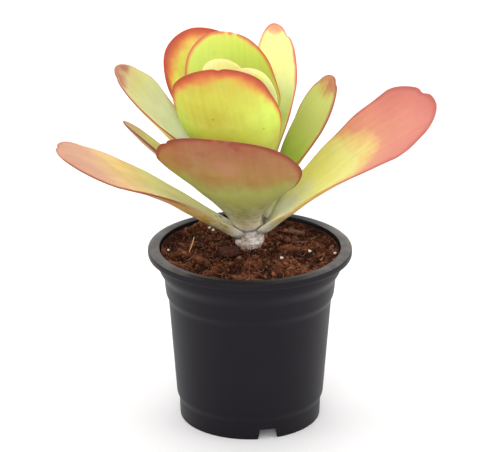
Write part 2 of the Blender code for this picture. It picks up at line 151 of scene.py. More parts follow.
# Leaves. Headings, pitches, twists and cups are in degrees, and a pair is a value at the base and one
# at the tip. rise is in leaf thicknesses above the lowest leaf. Lengths are in millimetres.
Leaf = namedtuple("Leaf", "name heading swing rise pitch length width base broadest fullness cup twist keel")
LEAVES = (
    Leaf("leaf_left_low", 197, 20, -0.2, (35, 26), 114, 48.5, 17, 0.78, 1.8, 8, (0, -14), 1),
    Leaf("leaf_right_low", -4, -13, 0.3, (44, 35.5), 114, 52.5, 23, 0.77, 1.7, 21, (10, 34), 0.3),
    Leaf("leaf_front_low", -106, 4, 1.05, (46, 58), 82, 76, 17, 0.68, 2.3, 12, (-1, -2), 0.5),
    Leaf("leaf_back_low", 106, 0, 0.8, (38, 40), 84, 47, 15, 0.62, 2.3, 25, (-4, -1), 0.5),
    Leaf("leaf_left_rear", 176, 0, 1.95, (38, 43), 76, 24, 12.5, 0.65, 2.3, 19, (6, 10), 0),
    Leaf("leaf_right_mid", 32, -6, 1.8, (53, 65), 80, 33, 14, 0.64, 2.0, 10, (-20, 3), 0.5),
    Leaf("leaf_left_mid", 190, -5, 3.3, (51, 52), 99, 47, 16, 0.68, 1.7, 23, (8, -17), 0),
    Leaf("leaf_back_right", 73, 14, 3.05, (46, 54), 101, 27, 12.5, 0.65, 2.0, 43, (-17, 32), 0),
    Leaf("leaf_back_left", 123, -1, 4.5, (49, 64), 91, 59, 15, 0.65, 1.8, 48, (10, -15), 0),
    Leaf("leaf_front_upright", -112, -11, 4.6, (55, 73), 91, 64, 14, 0.54, 2.0, 59, (0, 29), 0),
    Leaf("leaf_back_upright", 112, -14, 6.0, (48, 93), 79, 51.5, 13, 0.55, 2.7, 33, (18, -34), 0),
    Leaf("leaf_inner_left", 166, -5, 7.6, (67, 84), 60.5, 42.5, 11.5, 0.67, 2.1, 50, (0, -20), 0),
    Leaf("leaf_inner_front", -97, 6, 6.25, (60, 84), 75.5, 40.5, 13, 0.60, 1.9, 50, (11, 11), 0),
    Leaf("bud_leaf_right", 15, 0, 7.2, (80, 92), 47, 28, 11, 0.64, 2.2, 50, (0, 0), 0),
    Leaf("bud_leaf_left", -112, 0, 8.8, (84, 89), 44, 18, 6.5, 0.66, 2.3, 50, (-6, -2), 0),
)

# Colours from the base to the tip, as (share of the length, colour) stops, then the rim: its colours
# at the very edge, in the flush and in the glow that meets the blade, and the flush's reach in
# millimetres at the base and at the tip. slant leans the bands, as a share of the length for each
# millimetre across, sides is how strong the rim is on the two sides of the blade, and bow bends the
# bands towards the base at both edges.
Look = namedtuple("Look", "upper under rim reach slant sides bow", defaults=(0.0, (1.0, 1.0), 0.0))
LOOKS = {
    "leaf_left_low": Look(
        ((0, "#f7f7e0"), (0.14, "#f7f7b1"), (0.3, "#f7f7b0"), (0.46, "#f7f7a8"), (0.6, "#f3d88b"),
         (0.8, "#d19e80"), (1, "#bd8470")),
        ((0, "#b3a469"), (0.1, "#978030"), (0.2, "#b5912f"), (0.35, "#bf964a"), (0.6, "#8d5638"),
         (0.8, "#7d4737"), (1, "#713d33")),
        ("#8e4a38", "#a8603f", "#c89a62"), (0.8, 1.3), 0, (1, 0.45),
    ),
    "leaf_right_low": Look(
        ((0, "#f7f79b"), (0.14, "#f7f7dc"), (0.32, "#f4f188"), (0.565, "#e6e08e"), (0.6, "#e6cc80"),
         (0.635, "#e2ba7b"), (0.69, "#da9479"), (0.85, "#d48273"), (1, "#c77167")),
        ((0, "#878059"), (0.2, "#dcb949"), (0.48, "#d7a243"), (0.62, "#c46b3e"), (1, "#af5033")),
        ("#a85248", "#bd6a60", "#cc8074"), (0.3, 2.6), -0.0012, (1, 0.7), 0.0003,
    ),
    "leaf_front_low": Look(
        ((0, "#d1c893"), (0.3, "#d9d176"), (0.5, "#e6c876"), (0.66, "#e69b6d"), (1, "#d97e65")),
        ((0, "#f7e6ac"), (0.12, "#b09f6b"), (0.27, "#928d4a"), (0.42, "#a0a056"), (0.52, "#a19f52"),
         (0.63, "#a47f44"), (0.8, "#9f6d42"), (1, "#954f34")),
        ("#7c2f1e", "#92462d", "#a05b38"), (0.6, 2.2),
    ),
    "leaf_back_low": Look(
        ((0, "#ccc38f"), (0.3, "#c9c76a"), (0.55, "#dabb64"), (0.75, "#da8f60"), (1, "#c96e54")),
        ((0, "#a6997a"), (0.2, "#939350"), (0.5, "#aba352"), (0.75, "#b57c52"), (1, "#ab5c43")),
        ("#84382a", "#9c5038", "#b07048"), (1, 3),
    ),
    "leaf_left_rear": Look(
        ((0, "#bab65d"), (0.6, "#d1c264"), (0.8, "#c6c661"), (0.92, "#b99a53"), (1, "#a26e4b")),
        ((0, "#9b9b5c"), (0.6, "#aba352"), (0.85, "#b4885a"), (1, "#9b5c4a")),
        ("#86483c", "#a06a4c", "#b08c58"), (0.5, 1.4),
    ),
    "leaf_right_mid": Look(
        ((0, "#9eba46"), (0.4, "#a5be44"), (0.52, "#b3c354"), (0.66, "#c1c86c"), (0.85, "#c6ce72"),
         (0.895, "#cbba67"), (0.93, "#bd7c58"), (1, "#a95346")),
        ((0, "#a8b362"), (0.5, "#b9c258"), (0.8, "#d7d270"), (0.95, "#db9a6e"), (1, "#c26658")),
        ("#9c5444", "#b87e58", "#c8b068"), (0.5, 1.5),
    ),
    "leaf_left_mid": Look(
        ((0, "#f7f7f7"), (0.4, "#f7f7f7"), (0.55, "#ebf7d2"), (0.7, "#d9ddae"), (0.85, "#cbcb84"),
         (0.91, "#cbbb7e"), (0.95, "#b1775a"), (1, "#924738")),
        ((0, "#c0d39d"), (0.5, "#d3dc8a"), (0.8, "#ead382"), (0.95, "#dc8f66"), (1, "#c05d48")),
        ("#97503f", "#b98466", "#d4c48c"), (0.5, 0.8), 0, (1, 0.4),
    ),
    "leaf_back_right": Look(
        ((0, "#b8c75f"), (0.4, "#ced773"), (0.5, "#bdce6b"), (0.6, "#d6e294"), (0.7, "#e3eb9e"),
         (0.82, "#f5f49d"), (0.93, "#f5ee97"), (0.93, "#efd38e"), (0.965, "#e3a079"), (1, "#cc7563")),
        ((0, "#9cac52"), (0.5, "#c4cc6a"), (0.8, "#e9e082"), (0.95, "#e09372"), (1, "#cc6c56")),
        ("#c0584a", "#dc8c70", "#f0d48c"), (0.4, 1.2), 0, (0.6, 1),
    ),
    "leaf_back_left": Look(
        ((0, "#bde15e"), (0.5, "#d6ea63"), (0.7, "#e6ea65"), (0.82, "#e3e25e"), (0.92, "#e1c767"),
         (1, "#dd9d60")),
        ((0, "#bcc552"), (0.5, "#dcd756"), (0.75, "#f1b354"), (1, "#e46844")),
        ("#b04030", "#d87a40", "#e8b454"), (1.2, 6),
    ),
    "leaf_front_upright": Look(
        ((0, "#b0c850"), (0.5, "#c8d958"), (0.8, "#dde160"), (1, "#e9b060")),
        ((0, "#a3bc43"), (0.2, "#aec147"), (0.4, "#b7c051"), (0.52, "#c9e55b"), (0.62, "#d5ed68"),
         (0.75, "#cfd453"), (0.92, "#c5b647"), (1, "#bf8d42")),
        ("#a83a28", "#d47840", "#e2b04c"), (0.6, 4.8),
    ),
    "leaf_back_upright": Look(
        ((0, "#abbc4d"), (0.5, "#c0cb5b"), (0.7, "#cdd762"), (0.82, "#c9de62"), (0.93, "#d6e365"),
         (1, "#ecc97d")),
        ((0, "#acc34a"), (0.5, "#bfd152"), (0.85, "#e1dd5e"), (1, "#e5a462")),
        ("#c46a4a", "#dc9058", "#e0cc68"), (0.1, 1.5),
    ),
    "leaf_inner_left": Look(
        ((0, "#b9c673"), (0.6, "#d0d677"), (0.85, "#e5de84"), (0.97, "#ebe69a"), (1, "#ece7a4")),
        ((0, "#bccf72"), (0.6, "#e0e487"), (0.85, "#f3ec92"), (1, "#f7e09a")),
        ("#ecd8a0", "#f2e6a0", "#f0e898"), (0.3, 0.7),
    ),
    "leaf_inner_front": Look(
        ((0, "#b6cb6f"), (0.6, "#dade7e"), (0.9, "#ecee86"), (1, "#f0ec97")),
        ((0, "#a2ba61"), (0.6, "#c4cc81"), (0.8, "#d1d98d"), (0.95, "#e1f37f"), (1, "#f7f7b9")),
        ("#ecdca4", "#f0e8ac", "#ecec90"), (0.3, 0.7),
    ),
    "bud_leaf_right": Look(
        ((0, "#bbd072"), (0.6, "#e0ec8a"), (1, "#f4f4a3")),
        ((0, "#b3c762"), (0.6, "#d8e47a"), (1, "#f0f09b")),
        ("#e8a890", "#f0d0a0", "#f0f0a0"), (0.3, 0.9),
    ),
}
LOOKS["bud_leaf_left"] = LOOKS["bud_leaf_right"]

# Small nicks in the rims: side of the blade, share of the length, width and depth in millimetres
NICKS = {
    "leaf_left_low": ((1, 0.965, 2.4, 0.9),),
    "leaf_right_low": ((-1, 0.956, 3.2, 1.6), (1, 0.9, 4.0, 0.5)),
    "leaf_front_low": ((1, 0.885, 1.6, 1.1), (1, 0.75, 5.0, 0.5), (-1, 0.8, 5.0, 0.5)),
    "leaf_right_mid": ((1, 0.975, 2.0, 0.9), (-1, 0.93, 3.0, 0.6)),
    "leaf_left_mid": ((-1, 0.975, 1.8, 0.9), (1, 0.86, 4.0, 0.4)),
    "leaf_back_right": ((1, 0.955, 2.0, 1.4),),
    "leaf_front_upright": ((-1, 0.995, 1.6, 0.9), (1, 0.82, 3.0, 0.4)),
    "leaf_back_left": ((1, 0.9, 5.0, 0.5),),
}

# Marks on the blades: across and along in millimetres, radius, colour, strength. They are on the inner
# face, but for two leaves that show their outer one.
OUTER_MARKED = ("leaf_front_low", "leaf_front_upright")
MARKS = {
    "leaf_front_low": (
        (-7.0, 79.0, 5.0, "#8e3c26", 0.75),
        (12.0, 70.0, 3.0, "#9a4a30", 0.35),
        (12.0, 45.0, 11.0, "#945a28", 0.35),
        (2.0, 46.0, 10.0, "#98602e", 0.25),
        (-12.0, 48.0, 10.0, "#9a6434", 0.25),
        (22.0, 60.0, 8.0, "#8f4c34", 0.3),
        (0.0, 60.0, 9.0, "#b8806a", 0.3),
    ),
    "leaf_left_low": ((6.0, 9.0, 1.6, "#5a4a30", 0.7), (4.0, 12.0, 1.2, "#6a5838", 0.5)),
    "leaf_front_upright": ((3.0, 61.0, 0.8, "#98a030", 0.6), (-20.0, 48.0, 0.9, "#9aa034", 0.6)),
    "leaf_right_low": ((0.0, 20.0, 5.0, "#e4e0c8", 0.5),),
}

# How every blade is shaped
BASE_WRAP = 45  # degrees that each side of a base curls round the stem
EDGE_ROUNDNESS = 2.5
TIP_THINNING = 0.4  # share of the thickness lost by the tip
TIP_CLOSING = 8  # how late the tip rounds over
KEEL_PEAK, KEEL_END = 0.17, 0.5  # shares of the length where the keel is highest and where it ends
WAVE_DEPTH, WAVE_RATE = 0.012, 0.27  # the outline's waves, as a share of the width and per millimetre
RIPPLE_HEIGHT = 0.22  # the faces' ripples, in millimetres
MIDRIB_STEPS, EDGE_STEPS = 400, 500
BATCH = 2000  # points measured against the edge at a time
LEAF_GAP = 0.4 * MM
BASE_REACH = 1.6 * MM  # how far a leaf's base runs into the stem
LEAF_COLUMNS = 72
LEAF_SECTIONS = 84

# Compost and the loose pieces on it
EDGE_FILL = 1.4 * MM  # how far the compost creeps up the wall
WALL_GAP = 0.3 * MM  # between the compost and the wall
BED_FLOOR = 7.6 * MM  # its underside over the drainage channel
BED_RINGS, BED_STEPS = 96, 300
CRUMB_SEED, FIBRE_SEED = 11, 23
CRUMB_KINDS = 6
FIBRE_STEPS = 5
PERLITE_GRAINS = 6
PERLITE_SHARE = 0.31  # a grain's radius, as a share of its box's width
BARK_SQUARENESS = 4.0
STRAW_HALF_WIDTH = 0.33 * MM
STRAW_STEPS = 15

# Stem
STEM_RISES = (0.0, 2.6, 9.1)  # heights above the lowest leaf, in leaf thicknesses
STEM_RADII = (7.0, 6.0, 2.5)  # the radius there, in millimetres
STEM_STEPS = 96
SIDE_ROOTS = 5


# Modelling helpers


def clear_selection():
    if bpy.context.object and bpy.context.object.mode != "OBJECT":
        bpy.ops.object.mode_set(mode="OBJECT")
    bpy.ops.object.select_all(action="DESELECT")


def started(name):
    """The primitive just added, under its own name."""
    obj = bpy.context.object
    obj.name = obj.data.name = name
    return obj


def take(obj):
    clear_selection()
    obj.select_set(True)
    bpy.context.view_layer.objects.active = obj


@contextmanager
def editing(pick=None):
    """The active mesh in edit mode, with all or none of it picked, or what was picked before."""
    bpy.ops.object.mode_set(mode="EDIT")
    if pick:
        bpy.ops.mesh.select_all(action=pick)
    yield
    bpy.ops.object.mode_set(mode="OBJECT")


def turned(name, outline, steps):
    """A closed body turned round the upright axis: a ring pulled along its section, top and end closed."""
    clear_selection()
    radius, height = outline[0]
    bpy.ops.mesh.primitive_circle_add(vertices=steps, radius=radius, location=(0, 0, height))
    obj = started(name)
    bpy.ops.object.transform_apply(location=True, rotation=False, scale=False)
    with editing():
        for next_radius, next_height in outline[1:]:
            bpy.ops.mesh.extrude_region_move(TRANSFORM_OT_translate={"value": (0, 0, next_height - height)})
            growth = next_radius / radius
            bpy.ops.transform.resize(value=(growth, growth, 1), center_override=(0, 0, next_height))
            radius, height = next_radius, next_height
        bpy.ops.mesh.merge(type="COLLAPSE")
    for vertex in obj.data.vertices:
        vertex.select = vertex.index < steps
    with editing():
        bpy.ops.mesh.merge(type="COLLAPSE")
        bpy.ops.mesh.select_all(action="SELECT")
        bpy.ops.mesh.normals_make_consistent(inside=False)
    return obj


def apply_modifiers(obj):
    take(obj)
    for modifier in list(obj.modifiers):
        bpy.ops.object.modifier_apply(modifier=modifier.name)


def roughen(obj, size, depth, kind="CLOUDS", direction="NORMAL", group="", middle=0.5):
    """Pushes the surface in and out by a natural pattern of a size, both in metres."""
    texture = bpy.data.textures.new(f"{obj.name}_{kind.lower()}", kind)
    texture.noise_scale = size
    if kind == "CLOUDS":
        texture.noise_depth = 3
    displace = obj.modifiers.new("roughen", "DISPLACE")
    displace.texture = texture
    displace.texture_coords = "LOCAL"
    displace.strength = depth
    displace.mid_level = middle
    displace.direction = direction
    displace.vertex_group = group
    apply_modifiers(obj)


def ray_tree(obj):
    return BVHTree.FromPolygons(
        [vertex.co for vertex in obj.data.vertices], [face.vertices for face in obj.data.polygons]
    )


def drop(tree, x, y):
    """The highest point of a surface at a place."""
    return tree.ray_cast(Vector((x, y, 1.0)), Vector((0, 0, -1)))[0]


def gathered(name, shapes):
    """One mesh from many small shapes, each given as its points, its faces and its shade."""
    points, faces, shades = [], [], []
    for corners, sides, shade in shapes:
        first = len(points)
        points.extend(corners)
        faces.extend([[first + i for i in side] for side in sides])
        shades.extend([shade] * len(corners))
    mesh = bpy.data.meshes.new(name)
    mesh.from_pydata([tuple(point) for point in points], [], faces)
    mesh.attributes.new("shade", "FLOAT", "POINT").data.foreach_set("value", shades)
    obj = bpy.data.objects.new(name, mesh)
    bpy.context.scene.collection.objects.link(obj)
    take(obj)
    return obj


def tube(points, radii, sides, flat=1.0):
    """Points and faces of a closed tapering tube along a line."""
    points = [Vector(point) for point in points]
    corners, faces = [], []
    for index, (centre, radius) in enumerate(zip(points, radii)):
        ahead = points[min(index + 1, len(points) - 1)] - points[max(index - 1, 0)]
        ahead.normalize()
        side = ahead.cross(Vector((0, 0, 1)))
        side = side.normalized() if side.length > 0.05 else Vector((1, 0, 0))
        up = side.cross(ahead)
        for step in range(sides):
            angle = 2 * pi * step / sides
            corners.append(centre + side * (radius * cos(angle)) + up * (flat * radius * sin(angle)))
    for index in range(len(points) - 1):
        for step in range(sides):
            a, b = index * sides + step, index * sides + (step + 1) % sides
            faces.append((a, b, b + sides, a + sides))
    last = len(corners) - sides
    faces.append(tuple(range(sides - 1, -1, -1)))
    faces.append(tuple(range(last, last + sides)))
    return corners, faces


def finished(obj, finish, nodes, smooth=None):
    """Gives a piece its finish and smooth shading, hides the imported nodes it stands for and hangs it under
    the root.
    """
    obj.data.materials.clear()
    obj.data.materials.append(finish.material)
    take(obj)
    if smooth is None:
        bpy.ops.object.shade_smooth()
    else:
        bpy.ops.object.shade_smooth_by_angle(angle=radians(smooth))
    if nodes:
        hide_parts(*nodes)
    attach(obj, "root")
    clear_selection()


# Finishes


class Finish:
    """A procedural material, put together a node at a time."""

    def __init__(self, name, **values):
        self.material = bpy.data.materials.new(name)
        self.material.use_nodes = True
        self.tree = self.material.node_tree
        self.shader = self.tree.nodes["Principled BSDF"]
        for socket, value in values.items():
            self.shader.inputs[socket.replace("_", " ")].default_value = value

    def feed(self, socket, value):
        if isinstance(value, bpy.types.NodeSocket):
            self.tree.links.new(value, socket)
        elif isinstance(value, str):
            socket.default_value = srgb(value)
        else:
            socket.default_value = value

    def node(self, kind, inputs, **settings):
        node = self.tree.nodes.new("ShaderNode" + kind)
        for key, value in settings.items():
            setattr(node, key, value)
        for key, value in inputs.items():
            self.feed(node.inputs[key], value)
        return node

    def attribute(self, name):
        return self.node("Attribute", {}, attribute_name=name)

    def place(self):
        return self.node("TexCoord", {}).outputs["Object"]

    def scaled(self, vector, scale):
        return self.node("Mapping", {"Vector": vector, "Scale": scale}).outputs[0]

    def noise(self, vector, scale, detail=3.0, roughness=0.5):
        inputs = {"Vector": vector, "Scale": scale, "Detail": detail, "Roughness": roughness}
        return self.node("TexNoise", inputs).outputs[0]

    def swirl(self, vector, scale):
        """A soft random direction at each place."""
        return self.node("TexNoise", {"Vector": vector, "Scale": scale, "Detail": 2.0}).outputs[1]

    def cells(self, vector, scale, feature="F1"):
        return self.node("TexVoronoi", {"Vector": vector, "Scale": scale}, feature=feature).outputs[0]

    def math(self, operation, *values, clamp=False):
        inputs = dict(enumerate(values))
        return self.node("Math", inputs, operation=operation, use_clamp=clamp).outputs[0]

    def times(self, first, second):
        return self.math("MULTIPLY", first, second)

    def plus(self, first, second, clamp=False):
        return self.math("ADD", first, second, clamp=clamp)

    def about_zero(self, value, reach):
        """A value from 0 to 1, moved to lie evenly about zero and scaled."""
        return self.times(self.math("SUBTRACT", value, 0.5), reach)

    def part(self, vector, axis):
        """One coordinate of a place or a direction."""
        return self.node("SeparateXYZ", {0: vector}).outputs[axis]

    def span(self, value, low, high, to_low=0.0, to_high=1.0):
        """A value from low to high, eased to another range."""
        inputs = {"Value": value, "From Min": low, "From Max": high, "To Min": to_low, "To Max": to_high}
        return self.node("MapRange", inputs, interpolation_type="SMOOTHSTEP").outputs[0]

    def mix(self, share, first, second, blend="MIX"):
        inputs = {0: share, 6: first, 7: second}
        return self.node("Mix", inputs, data_type="RGBA", blend_type=blend).outputs[2]

    def ramp(self, value, stops):
        node = self.node("ValToRGB", {0: value})
        elements = node.color_ramp.elements
        while len(elements) < len(stops):
            elements.new(0.5)
        for element, (position, colour) in zip(elements, stops):
            element.position = position
            element.color = srgb(colour)
        return node.outputs[0]

    def bump(self, height, strength, distance, normal=None):
        inputs = {"Height": height, "Strength": strength, "Distance": distance}
        if normal:
            inputs["Normal"] = normal
        return self.node("Bump", inputs).outputs[0]

    def finish(self, colour, roughness=None, normal=None):
        self.feed(self.shader.inputs["Base Color"], colour)
        if roughness is not None:
            self.feed(self.shader.inputs["Roughness"], roughness)
        if normal is not None:
            self.feed(self.shader.inputs["Normal"], normal)


def pot_finish(settings):
    """Black moulded plastic with a satin skin, faint flow lines, a little dust, and a painted sheen with some
    wear on the lip.
    """
    plastic = Finish("black_nursery_plastic", Specular_IOR_Level=0.18, Specular_Tint=(0.93, 0.88, 1.0, 1.0))
    place = plastic.place()
    flow = plastic.noise(plastic.scaled(place, (18, 18, 420)), 1.0, 2.0)
    clouds = plastic.noise(place, 45.0, 4.0)
    grain = plastic.noise(place, 2600.0, 2.0)
    base = (*settings.colour, 1.0)
    dust = plastic.span(clouds, 0.4, 0.8, 0.0, 0.004)
    colour = plastic.mix(dust, base, "#8a8078")
    facing = plastic.part(plastic.node("NewGeometry", {}).outputs["Normal"], 2)
    sideways = plastic.math("ABSOLUTE", plastic.part(place, 0), 0.0)
    rim = settings.rim_radius
    # painted sheen with some wear: the lip's upward-facing top is mixed toward light grey, far more at its
    # left and right sides than at its front and back, standing in for reflected light
    lip = plastic.span(plastic.part(place, 2), settings.height - 4.6 * MM, settings.height - 1.5 * MM)
    lip = plastic.times(lip, plastic.span(sideways, 0.4 * rim, 0.9 * rim, 0.1, 1.7))
    wear_and_sheen = plastic.times(lip, plastic.span(facing, 0.5, 0.95, 0.0, 0.34))
    wear_and_sheen = plastic.times(wear_and_sheen, plastic.span(plastic.noise(place, 130.0, 5.0, 0.6), 0.3, 0.7, 0.6, 1.2))
    colour = plastic.mix(wear_and_sheen, colour, "#7d7a76")
    roughness = plastic.plus(settings.roughness - 0.06, plastic.times(clouds, 0.12))
    lines = plastic.bump(flow, 0.10, 0.0003)
    normal = plastic.bump(grain, 0.08, 0.00006, lines)
    plastic.finish(colour, roughness, normal)
    return plastic


def compost_finish(name, lift=0.0):
    """Coir compost: red-brown pith and rusty fibre, varied by each piece's shade value, which on the bed is
    painted shade, darker in its hollows and lighter on its rises.
    """
    coir = Finish(name, Specular_IOR_Level=0.12)
    place = coir.place()
    shade = coir.attribute("shade").outputs["Fac"]
    patch = coir.noise(place, 90.0, 3.0)
    fine = coir.noise(place, 900.0, 4.0, 0.65)
    value = coir.plus(coir.times(patch, 0.5), coir.times(fine, 0.45))
    value = coir.plus(value, coir.about_zero(shade, 0.6))
    value = coir.plus(value, lift)
    colour = coir.ramp(
        value,
        ((0.24, "#20100a"), (0.4, "#432415"), (0.53, "#633825"), (0.68, "#835139"), (0.9, "#a67c58")),
    )
    normal = coir.bump(fine, 0.6, 0.0006)
    coir.finish(colour, 0.9, normal)
    return coir


def perlite_finish():
    grain = Finish("white_perlite", Roughness=0.95, Specular_IOR_Level=0.2)
    place = grain.place()
    pores = grain.cells(place, 2600.0)
    colour = grain.mix(grain.span(grain.noise(place, 700.0, 3.0), 0.35, 0.7), "#fffdf6", "#e6d8c4")
    grain.finish(colour, None, grain.bump(pores, 0.7, 0.0003))
    return grain


def bark_finish(name, dark, light):
    """Composted bark: long dark grain with paler splits."""
    bark = Finish(name, Roughness=0.88, Specular_IOR_Level=0.25)
    place = bark.place()
    grain = bark.noise(bark.scaled(place, (260, 1100, 900)), 1.0, 4.0, 0.6)
    bark.finish(bark.mix(bark.span(grain, 0.3, 0.7), dark, light), None, bark.bump(grain, 0.8, 0.0006))
    return bark


def straw_finish():
    straw = Finish("dry_straw", Roughness=0.7)
    place = straw.place()
    grain = straw.noise(straw.scaled(place, (4000, 250, 4000)), 1.0, 2.0)
    straw.finish(straw.mix(grain, "#9a6236", "#dcae78"), None, straw.bump(grain, 0.4, 0.0002))
    return straw


def stem_finish():
    """Whitish corky skin with leaf scars, pink-brown cracks and dark pits."""
    skin = Finish("corky_stem_skin", Specular_IOR_Level=0.3)
    place = skin.place()
    patches = skin.noise(place, 210.0, 4.0, 0.6)
    shift = skin.scaled(skin.swirl(place, 160.0), (0.004, 0.004, 0.0035))
    bent = skin.node("VectorMath", {0: place, 1: shift}).outputs[0]
    scars = skin.noise(skin.scaled(bent, (70, 70, 620)), 1.0, 4.0, 0.65)
    cracks = skin.cells(skin.scaled(bent, (230, 230, 420)), 1.0, "DISTANCE_TO_EDGE")
    pits = skin.cells(place, 430.0)
    fine = skin.noise(place, 1700.0, 3.0)
    soiled = skin.span(skin.part(place, 2), SOIL_HIGH.z - 1.5 * MM, SOIL_HIGH.z + 2.5 * MM, 1.0, 0.0)
    colour = skin.ramp(patches, ((0.3, "#a98d7c"), (0.42, "#cdbcae"), (0.54, "#e2dad0"), (0.7, "#efece6")))
    colour = skin.mix(skin.span(scars, 0.54, 0.68, 0.0, 0.7), colour, "#8a6653")
    colour = skin.mix(skin.span(cracks, 0.0, 0.09, 0.55, 0.0), colour, "#6e5142")
    pitted = skin.times(skin.span(pits, 0.05, 0.24, 0.8, 0.0), skin.span(patches, 0.56, 0.44))
    colour = skin.mix(pitted, colour, "#4a3226")
    colour = skin.mix(skin.times(soiled, skin.span(fine, 0.35, 0.6)), colour, "#5a3826")
    normal = skin.bump(scars, 0.6, 0.0006)
    normal = skin.bump(cracks, 0.3, 0.0008, normal)
    normal = skin.bump(pits, 0.3, 0.0004, normal)
    skin.finish(colour, 0.85, skin.bump(fine, 0.5, 0.0002, normal))
    return skin


def leaf_finish(number, leaf):
    """A waxy blade: bands of colour along it, a flushed rim, faint veins, specks and bloom."""
    look = LOOKS[leaf.name]
    wax = Finish(
        f"{leaf.name}_skin", Specular_IOR_Level=0.3, Subsurface_Weight=0.25, Subsurface_Scale=2.5 * MM
    )
    wax.shader.inputs["Subsurface Radius"].default_value = (1.0, 0.7, 0.3)
    blade = wax.attribute("blade").outputs["Vector"]
    face = wax.attribute("face").outputs["Fac"]
    across, along, edge = wax.node("SeparateXYZ", {0: blade}).outputs
    level = wax.plus(wax.times(face, 25.0), 31.0 * number)
    place = wax.node("CombineXYZ", {0: across, 1: along, 2: level}).outputs[0]
    broad = wax.noise(place, 0.075, 2.0)
    soft = wax.noise(place, 0.22, 4.0, 0.6)
    veins = wax.noise(wax.scaled(place, (0.42, 0.03, 1.0)), 1.0, 3.0, 0.55)
    fine = wax.noise(place, 2.4, 3.0)
    share = wax.math("DIVIDE", along, float(leaf.length))
    sway = wax.about_zero(broad, 0.18)
    streak = wax.about_zero(veins, 0.05)
    lean = wax.times(across, wax.plus(look.slant, wax.times(across, look.bow)))
    place_along = wax.plus(wax.plus(share, lean), wax.plus(sway, streak))
    colour = wax.mix(face, wax.ramp(place_along, look.under), wax.ramp(place_along, look.upper))
    # the flushed rim
    base_reach, tip_reach = look.reach
    reach = wax.span(share, 0.35, 0.95, base_reach, tip_reach)
    reach = wax.times(reach, wax.span(broad, 0.3, 0.7, 1.6, 2.6))
    nearness = wax.math("SUBTRACT", 1.0, wax.math("DIVIDE", edge, reach))
    mottle = wax.about_zero(soft, 0.2)
    nearness = wax.plus(nearness, mottle, clamp=True)
    rim_edge, rim_flush, rim_glow = look.rim
    rim = wax.ramp(nearness, ((0.15, rim_glow), (0.6, rim_flush), (0.95, rim_edge)))
    strength = wax.times(wax.span(nearness, 0.0, 0.8), wax.span(share, 0.12, 0.5, 0.25, 1.0))
    strength = wax.times(strength, wax.span(across, -6.0, 6.0, *look.sides))
    colour = wax.mix(strength, colour, rim)
    # veins, mottling, specks
    colour = wax.mix(wax.span(veins, 0.3, 0.7, 0.0, 0.2), colour, wax.mix(1.0, colour, "#dfe2c0", "MULTIPLY"))
    colour = wax.mix(wax.span(soft, 0.5, 0.8, 0.0, 0.25), colour, wax.mix(1.0, colour, "#e2d6bc", "MULTIPLY"))
    specks = wax.cells(place, 0.28)
    speck = wax.times(wax.span(specks, 0.03, 0.09, 1.0, 0.0), wax.span(broad, 0.45, 0.6))
    colour = wax.mix(wax.times(speck, 0.4), colour, "#7c6a2c")
    marked = wax.math("SUBTRACT", 1.0, face) if leaf.name in OUTER_MARKED else face
    for x, y, radius, mark, amount in MARKS.get(leaf.name, ()):
        flat = wax.node("CombineXYZ", {0: across, 1: along}).outputs[0]
        far = wax.node("VectorMath", {0: flat, 1: (x, y, 0.0)}, operation="DISTANCE").outputs["Value"]
        far = wax.plus(far, wax.about_zero(soft, radius))
        spot = wax.times(wax.span(far, 0.4 * radius, radius, amount, 0.0), marked)
        colour = wax.mix(spot, colour, mark)
    # powdery bloom towards the base, and the corky clasping foot, with painted shade in its wrinkles' creases
    powder = wax.times(wax.span(share, 0.06, 0.42, 0.5, 0.03), wax.span(soft, 0.35, 0.7))
    colour = wax.mix(powder, colour, "#eceed6")
    foot = wax.span(wax.plus(share, wax.times(soft, 0.07)), 0.045, 0.12, 0.8, 0.0)
    colour = wax.mix(foot, colour, wax.mix(wax.span(fine, 0.35, 0.65), "#ccc3ab", "#efebdf"))
    wrinkles = wax.noise(wax.scaled(place, (0.5, 0.16, 1.0)), 1.0, 4.0, 0.65)
    low = wax.span(share, 0.03, 0.13, 1.0, 0.0)
    creased = wax.times(wrinkles, low)
    # painted shade: the base's wrinkle lines are darkened toward #6f604c, standing in for shade in its
    # creases
    colour = wax.mix(wax.times(wax.span(wrinkles, 0.58, 0.68, 0.0, 0.5), low), colour, "#6f604c")
    normal = wax.bump(veins, 0.05, 0.0008)
    normal = wax.bump(creased, 0.6, 0.0010, normal)
    normal = wax.bump(fine, 0.12, 0.0002, normal)
    roughness = wax.span(soft, 0.2, 0.8, 0.42, 0.58)
    wax.finish(colour, roughness, normal)
    return wax


# Pot. Fixed lengths, beside those in its settings.
SKIRT = 4.2 * MM  # how far the lip turns down
SHOULDER = 25 * MM  # from the crest down to the shoulder
PLINTH = 10 * MM  # height of the stepped foot
FOOT_RING = 2 * MM  # thickness of the ring it stands on
CHANNEL_RISE = 6 * MM  # height of the drainage channel's roof
HUB_SHARE = 0.596  # the underside's middle disc, as a share of the foot's radius
NOTCHES, NOTCH_HEADING = 3, -75.3
NOTCH_LOW_WIDTH, NOTCH_TOP_WIDTH = 11 * MM, 8.5 * MM
DRAIN_HOLES, HOLE_RADIUS = 6, 4 * MM
POT_STEPS, CORNER_STEPS = 144, 4


def eased(first, last, steps):
    """Points on a soft step between two (radius, height) points."""
    points = []
    for step in range(steps + 1):
        share = 0.5 - 0.5 * cos(pi * step / steps)
        radius = first[0] + (last[0] - first[0]) * share
        points.append((radius, first[1] + (last[1] - first[1]) * step / steps))
    return points


def rounded(corners):
    """An outline whose corners are given as (radius, height, reach of the rounding)."""
    points = []
    for number, (radius, height, reach) in enumerate(corners):
        if not reach or number in (0, len(corners) - 1):
            points.append((radius, height))
            continue
        corner = Vector((radius, height))
        ways = []
        for other in (corners[number - 1], corners[number + 1]):
            way = Vector(other[:2]) - corner
            ways.append(corner + way.normalized() * min(reach, 0.48 * way.length))
        for step in range(CORNER_STEPS + 1):
            share = step / CORNER_STEPS
            points.append(tuple(ways[0].lerp(corner, share).lerp(corner.lerp(ways[1], share), share)))
    return points


